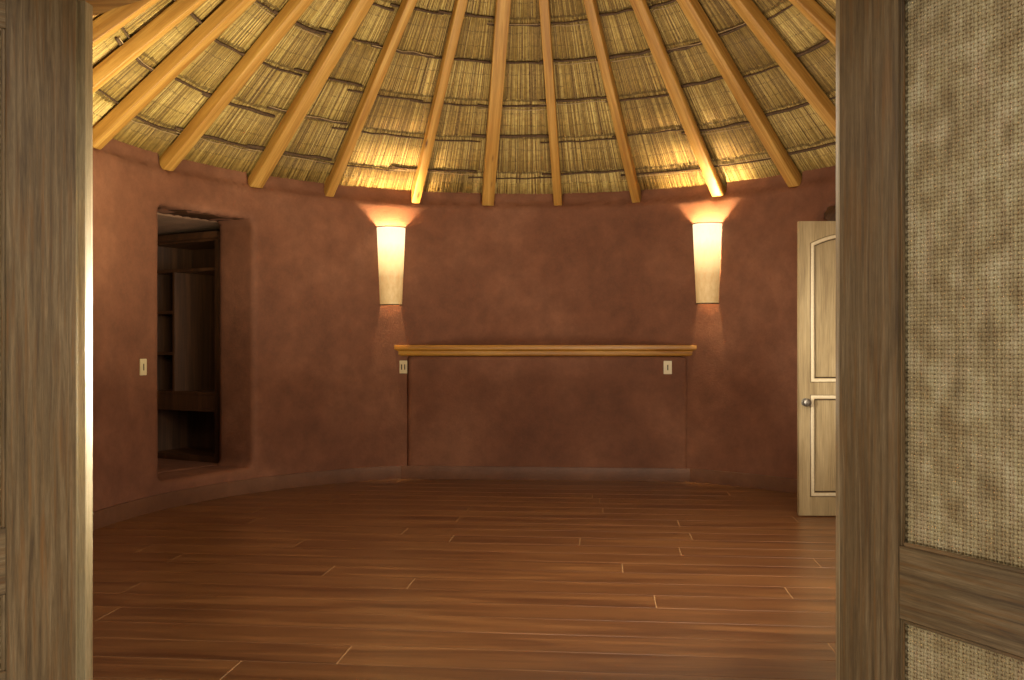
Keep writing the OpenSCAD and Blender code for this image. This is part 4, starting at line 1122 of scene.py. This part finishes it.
def add_stick(shape, places, thick, sides=6):
    """A tapering, uneven stick along some places, closed at both ends."""
    rings = []
    for k, place in enumerate(places):
        ahead = (places[min(k + 1, len(places) - 1)] - places[max(k - 1, 0)]).normalized()
        side = ahead.cross(Vector((0, 0, 1))).normalized()
        lift = side.cross(ahead)
        size = thick * random.uniform(0.82, 1.12)
        rings.append([shape.verts.new(place + (side * math.cos(a) + lift * math.sin(a)) * size)
                      for a in (2 * math.pi * j / sides for j in range(sides))])
    add_tube(shape, rings)


def batten_line(radius, height_at, first, last, drop, wave):
    """A wavy line round the roof between two angles."""
    places = []
    for k in range(BATTEN_BENDS + 1):
        turn = first + (last - first) * k / BATTEN_BENDS
        r = radius + drop + wave * random.uniform(-1, 1)
        places.append(Vector((r * math.cos(turn), r * math.sin(turn), height_at(r))))
    return places


random.seed(29)
sticks, pale_sticks = bmesh.new(), bmesh.new()
for row in range(BATTEN_ROWS):
    radius = BATTEN_R - row * BATTEN_STEP
    for bay in range(BAYS):
        first = 2 * math.pi * bay / BAYS - random.uniform(0.01, 0.03)
        last = 2 * math.pi * (bay + 1) / BAYS + random.uniform(0.01, 0.03)
        drop = random.uniform(-0.03, 0.03)
        thick = random.choice((0.007, 0.009, 0.011, 0.014))
        line = batten_line(radius, lambda r: slope_z(r, RAFTER_D + thick), first, last, drop, 0.006)
        add_stick(sticks, line, thick)
        if random.random() < PALE_SHARE:
            drop += random.choice((-1, 1)) * PALE_ASIDE
            line = batten_line(radius, lambda r: slope_z(r, RAFTER_D + 0.004), first, last, drop, 0.006)
            add_stick(pale_sticks, line, PALE_R)
for radius in (OUTER - BATTEN_D, (OUTER + EAVES_R) / 2 + BATTEN_D, EAVES_R - BATTEN_D):
    for bay in range(BAYS):
        first = 2 * math.pi * bay / BAYS - 0.02
        last = 2 * math.pi * (bay + 1) / BAYS + 0.02
        line = batten_line(radius, lambda r: kick_z(r, EAVES_D + 0.01), first, last, 0, 0.005)
        add_stick(sticks, line, 0.0095)
stick_bark = grainy_finish("stick_bark", 0.85, 70, 4, (58, 42, 28), (104, 78, 52), 0.002, 0.6)
pale_stick = grainy_finish("pale_stick", 0.7, 60, 3, (150, 122, 84), (196, 168, 124))
stand_in(made("batten_sticks", sticks, stick_bark, 180), "hut", "batten_stick", "battens")
stand_in(made("pale_tie_sticks", pale_sticks, pale_stick, 180), "hut", "batten_stick")

# Thatch: reed laid up the slope. Inside, it shows as a lining of fine reed in courses from batten
# to batten; outside, as a thick coat of longer reed, with the cut ends showing along the eaves.
THATCH_IN = RAFTER_D + BATTEN_D
THATCH_T = 0.23
COURSE_SEEDS = ("slip", "sink", "lean", "roll", "thick", "tone", "bay_tone")


def reed_tree():
    """A course of reeds round the roof: each lies up the slope, a little crooked, with a tone."""
    tree, given, result = geometry_tree(
        "reed_course", count=100, radius=1.0, height=3.0, slope=0.7, reed_length=0.3, reed_radius=0.005,
        length_spread=0.02, depth_spread=0.002, skew=0.02, bays=24, seed=1, sides=4, reed=None)

    def draw(kind, low, high, key=None):
        """A random number for one trait of each reed."""
        seed = maths(tree, "ADD", given["seed"], 1.0 + COURSE_SEEDS.index(kind))
        return chance(tree, low, high, seed, key)

    index = put(tree, "GeometryNodeInputIndex").outputs[0]
    shifted = maths(tree, "ADD", index, chance(tree, -0.22, 0.22, given["seed"]))
    turn = maths(tree, "MULTIPLY", maths(tree, "DIVIDE", shifted, given["count"]), 2 * math.pi)
    slip = maths(tree, "MULTIPLY", draw("slip", -1.0, 1.0), given["length_spread"])
    sink = maths(tree, "MULTIPLY", draw("sink", -1.0, 1.0), given["depth_spread"])
    cos_slope, sin_slope = maths(tree, "COSINE", given["slope"]), maths(tree, "SINE", given["slope"])
    out = maths(tree, "ADD", given["radius"], maths(tree, "ADD", maths(
        tree, "MULTIPLY", slip, cos_slope), maths(tree, "MULTIPLY", sink, sin_slope)))
    high = maths(tree, "ADD", given["height"], maths(tree, "SUBTRACT", maths(
        tree, "MULTIPLY", sink, cos_slope), maths(tree, "MULTIPLY", slip, sin_slope)))
    place = put(tree, "ShaderNodeCombineXYZ", {
        0: maths(tree, "MULTIPLY", out, maths(tree, "COSINE", turn)),
        1: maths(tree, "MULTIPLY", out, maths(tree, "SINE", turn)), 2: high}).outputs[0]
    points = put(tree, "GeometryNodePoints", {"Count": given["count"], "Position": place}).outputs[0]
    stem = put(tree, "GeometryNodeMeshCylinder", {
        "Vertices": given["sides"], "Side Segments": 1, "Radius": 1.0, "Depth": 1.0}).outputs[0]
    stem = put(tree, "GeometryNodeTransform", {"Geometry": stem, "Rotation": (0, math.pi / 2, 0)}).outputs[0]
    lean = maths(tree, "MULTIPLY", draw("lean", -1.0, 1.0), given["skew"])
    facing = put(tree, "ShaderNodeCombineXYZ", {
        0: draw("roll", 0.0, 6.28), 1: given["slope"], 2: maths(tree, "ADD", turn, lean)}).outputs[0]
    thick = maths(tree, "MULTIPLY", given["reed_radius"], draw("thick", 0.7, 1.2))
    size = put(tree, "ShaderNodeCombineXYZ", {0: given["reed_length"], 1: thick, 2: thick}).outputs[0]
    reeds = put(tree, "GeometryNodeInstanceOnPoints", {
        "Points": points, "Instance": stem, "Rotation": facing, "Scale": size}).outputs[0]
    bay = maths(tree, "DIVIDE", maths(tree, "MULTIPLY", index, given["bays"]), given["count"])
    bay_tone = draw("bay_tone", 0.0, 1.0, maths(tree, "FLOOR", bay))
    tone = maths(tree, "ADD", maths(tree, "MULTIPLY", draw("tone", 0.0, 1.0), 0.55),
                 maths(tree, "MULTIPLY", bay_tone, 0.45))
    toned = put(tree, "GeometryNodeStoreNamedAttribute", {"Geometry": reeds, "Name": "tone"},
                data_type="FLOAT", domain="INSTANCE")
    value_socket = next(s for s in toned.inputs if s.name == "Value" and s.enabled)
    fill(tree, value_socket, tone)
    whole = put(tree, "GeometryNodeRealizeInstances", {"Geometry": toned.outputs[0]}).outputs[0]
    smooth = put(tree, "GeometryNodeSetShadeSmooth", {"Geometry": whole}).outputs[0]
    return with_material(tree, smooth, given["reed"], result)


def reed_finish(name, dark, middle, light, roughness=0.62):
    """Dry reed: a tone of its own for each stem, with darker blots and joints along it."""
    material = finish(name, roughness)
    tree = material.node_tree
    tone = put(tree, "ShaderNodeAttribute", attribute_name="tone").outputs["Fac"]
    colour = ramp(tree, tone, (0.05, screen(*dark)), (0.95, screen(*light)), (0.5, screen(*middle)))
    blots = cloud(tree, object_place(tree), 26, 4, 0.65)
    shade = ramp(tree, blots, (0.32, grey(0.3)), (0.66, grey(0.62)))
    coat(material, blend(tree, 0.7, colour, shade, "OVERLAY"))
    return material


lining_reed = reed_finish("lining_reed", (118, 92, 42), (172, 143, 76), (218, 194, 120))


def stitch_and_shade_lining(material):
    """Darkens the lining along two rows of stitches a course, and paints shade in a ragged band at its lower
    ends.
    """
    tree = material.node_tree
    place = object_place(tree)
    parts = put(tree, "ShaderNodeSeparateXYZ", {0: place}).outputs
    radius = maths(tree, "SQRT", maths(tree, "ADD", maths(tree, "MULTIPLY", parts[0], parts[0]),
                                       maths(tree, "MULTIPLY", parts[1], parts[1])))
    wander = maths(tree, "MULTIPLY", maths(tree, "SUBTRACT", cloud(tree, place, 5, 2), 0.5), 0.03)
    below = maths(tree, "ADD", maths(tree, "SUBTRACT", BATTEN_R, radius), wander)
    course = maths(tree, "FRACT", maths(tree, "ADD", maths(tree, "DIVIDE", below, BATTEN_STEP), 1.0))
    ragged = maths(tree, "MULTIPLY", cloud(tree, place, 42, 3, 0.7), 0.16)
    # Painted shade, with the reeds' ragged ends: a dark band just above each batten, where the gap under the
    # mat's lower ends lies in shadow.
    ends = maths(tree, "LESS_THAN", course, maths(tree, "SUBTRACT", ragged, 0.025))
    dots = maths(tree, "GREATER_THAN", cloud(tree, place, 95, 2), 0.5)
    rows = None
    for row in (0.36, 0.68):
        line = maths(tree, "LESS_THAN", maths(tree, "ABSOLUTE", maths(tree, "SUBTRACT", course, row)), 0.014)
        rows = line if rows is None else maths(tree, "MAXIMUM", rows, line)
    # One dark colour draws both the real stitches and the painted shade at the courses' lower ends.
    stitches_and_painted_shade = maths(tree, "MAXIMUM", maths(tree, "MULTIPLY", ends, 0.62), maths(
        tree, "MULTIPLY", maths(tree, "MULTIPLY", rows, dots), 0.6))
    shader = tree.nodes["Principled BSDF"]
    colour = shader.inputs["Base Color"].links[0].from_socket
    fill(tree, shader.inputs["Base Color"], blend(tree, stitches_and_painted_shade, colour, screen(74, 54, 28)))


stitch_and_shade_lining(lining_reed)
coat_reed = reed_finish("coat_reed", (112, 96, 66), (150, 132, 96), (186, 168, 128), 0.75)
# Painted shade: the thatch solid under the reeds is painted dark, to stand for the shade in the gaps between
# the reeds. Its underside, seen from the room, is painted darker than its upper face, which is painted shade
# too.
thatch_shade = finish("thatch_shade", 0.95)
shade_tree = thatch_shade.node_tree
shade_grain = cloud(shade_tree, object_place(shade_tree), 60, 4)
upward = put(shade_tree, "ShaderNodeSeparateXYZ", {
    0: put(shade_tree, "ShaderNodeNewGeometry").outputs["True Normal"]}).outputs[2]
painted_underside_shade = tones(shade_tree, shade_grain, (78, 58, 32), (128, 102, 62))
outside_shade = tones(shade_tree, shade_grain, (84, 70, 46), (132, 114, 80))
outside = ramp(shade_tree, upward, (0.0, grey(0)), (0.3, grey(1)))
coat(thatch_shade, blend(shade_tree, outside, painted_underside_shade, outside_shade), shade_grain, 0.006)
repaint(thatch_shade, "thatch", "peak_cap")
reed_course = reed_tree()


def add_course(shape, radius, height, length, reed_radius, gap, seed, slope, reed=coat_reed, **spread):
    """Lays one course of reeds on the roof and adds it to a bmesh."""
    add_mesh(shape, grown(
        reed_course, count=max(12, int(2 * math.pi * radius / gap)), radius=radius, height=height,
        slope=slope, reed_length=length, reed_radius=reed_radius, seed=seed, reed=reed, **spread))


lining = bmesh.new()
course_edges = [INNER + 0.05] + [BATTEN_R - row * BATTEN_STEP for row in range(BATTEN_ROWS)] + [0.43, 0.15]
for k, (low_r, high_r) in enumerate(zip(course_edges, course_edges[1:])):
    radius = (low_r + high_r) / 2
    length = (low_r - high_r) / math.cos(PITCH) + 0.03
    add_course(lining, radius, slope_z(radius, THATCH_IN + 0.002), length, 0.0058, 0.0105, 100 + 10 * k,
               PITCH, lining_reed, length_spread=0.012, depth_spread=0.002, skew=0.012)
stand_in(made("reed_lining", lining, lining_reed, 180), "hut", "reed")

# Outside, each course of the coat overlaps the one below it and its butts stand a little proud.
# A fringe of cut butts shows round the eaves, and the cap over the peak is tied down with ropes.
COAT_D = THATCH_IN + THATCH_T
EAVES_COAT_D = EAVES_D + BATTEN_D + THATCH_T
TIP_R = EAVES_R + 0.08
BELL_OUT = (OUTER * math.tan(EAVES_PITCH) - INNER * math.tan(PITCH) + EAVES_COAT_D / math.cos(EAVES_PITCH)
            - COAT_D / math.cos(PITCH)) / (math.tan(EAVES_PITCH) - math.tan(PITCH))
BUTT_LIFT = 0.035
COAT_REED_R, COAT_GAP = 0.0075, 0.0165
coat_shape = bmesh.new()
for courses, start, step, length, pitch, height_at, depth, seed in (
    (4, TIP_R - 0.09, 0.21, 0.36, EAVES_PITCH, kick_z, EAVES_COAT_D, 300),
    (11, BELL_OUT - 0.06, 0.2, 0.38, PITCH, slope_z, COAT_D, 400),
):
    for k in range(courses):
        radius = start - step * k
        add_course(coat_shape, radius, height_at(radius, depth), length, COAT_REED_R, COAT_GAP,
                   seed + 10 * k, pitch - BUTT_LIFT, length_spread=0.03, depth_spread=0.003, skew=0.035)
stand_in(made("reed_coat", coat_shape, coat_reed, 180), "hut", "reed")
fringe = bmesh.new()
FRINGE_ROWS, FRINGE_STEP, FRINGE_IN = 7, 0.034, 0.035
for k in range(FRINGE_ROWS):
    depth = EAVES_D + BATTEN_D + 0.012 + FRINGE_STEP * k
    radius = TIP_R + (depth - EAVES_D - BATTEN_D) * math.sin(EAVES_PITCH) - FRINGE_IN
    add_course(fringe, radius, kick_z(radius, depth), 0.1, 0.0105, 0.031, 600 + 10 * k,
               EAVES_PITCH, length_spread=0.012, depth_spread=0.012, skew=0.06)
stand_in(made("eaves_fringe", fringe, coat_reed, 180), "hut", "reed")

CAP_T = 0.07
CAP_D = COAT_D + CAP_T
cap_reeds = bmesh.new()
for k, radius in enumerate((0.56, 0.4, 0.24, 0.12)):
    add_course(cap_reeds, radius, slope_z(radius, CAP_D), 0.26, COAT_REED_R, 0.014, 700 + 10 * k,
               PITCH - BUTT_LIFT, length_spread=0.02, depth_spread=0.004, skew=0.05)
stand_in(made("cap_reeds", cap_reeds, coat_reed, 180), "hut", "reed")

rope_fibre = grainy_finish("rope_fibre", 0.85, 150, 3, (104, 84, 54), (160, 136, 96), 0.001)


def rope_shape(radius, height, thick, turns, strands=3):
    """A laid rope tied round the cap: strands that wind about one another round a ring."""
    shape = bmesh.new()
    steps = turns * 6
    for strand in range(strands):
        rings = []
        for k in range(steps):
            around = 2 * math.pi * k / steps
            wind = turns * around + 2 * math.pi * strand / strands
            r = radius + thick * 0.5 * math.cos(wind)
            z = height + thick * 0.5 * math.sin(wind)
            middle = Vector((r * math.cos(around), r * math.sin(around), z))
            out, up = Vector((math.cos(around), math.sin(around), 0)), Vector((0, 0, 1))
            rings.append([shape.verts.new(middle + (out * math.cos(a) + up * math.sin(a)) * thick * 0.55)
                          for a in (2 * math.pi * j / 5 for j in range(5))])
        for k in range(steps):
            one, two = rings[k], rings[(k + 1) % steps]
            for j in range(5):
                shape.faces.new((one[j], two[j], two[(j + 1) % 5], one[(j + 1) % 5]))
    bmesh.ops.recalc_face_normals(shape, faces=shape.faces)
    return shape


ropes = bmesh.new()
ROPE_R = 0.012
for radius, turns in ((0.5, 60), (0.26, 32)):
    add_part(ropes, rope_shape(radius, slope_z(radius, CAP_D) + ROPE_R, ROPE_R, turns))
stand_in(made("cap_ropes", ropes, rope_fibre, 60), "hut", "reed")
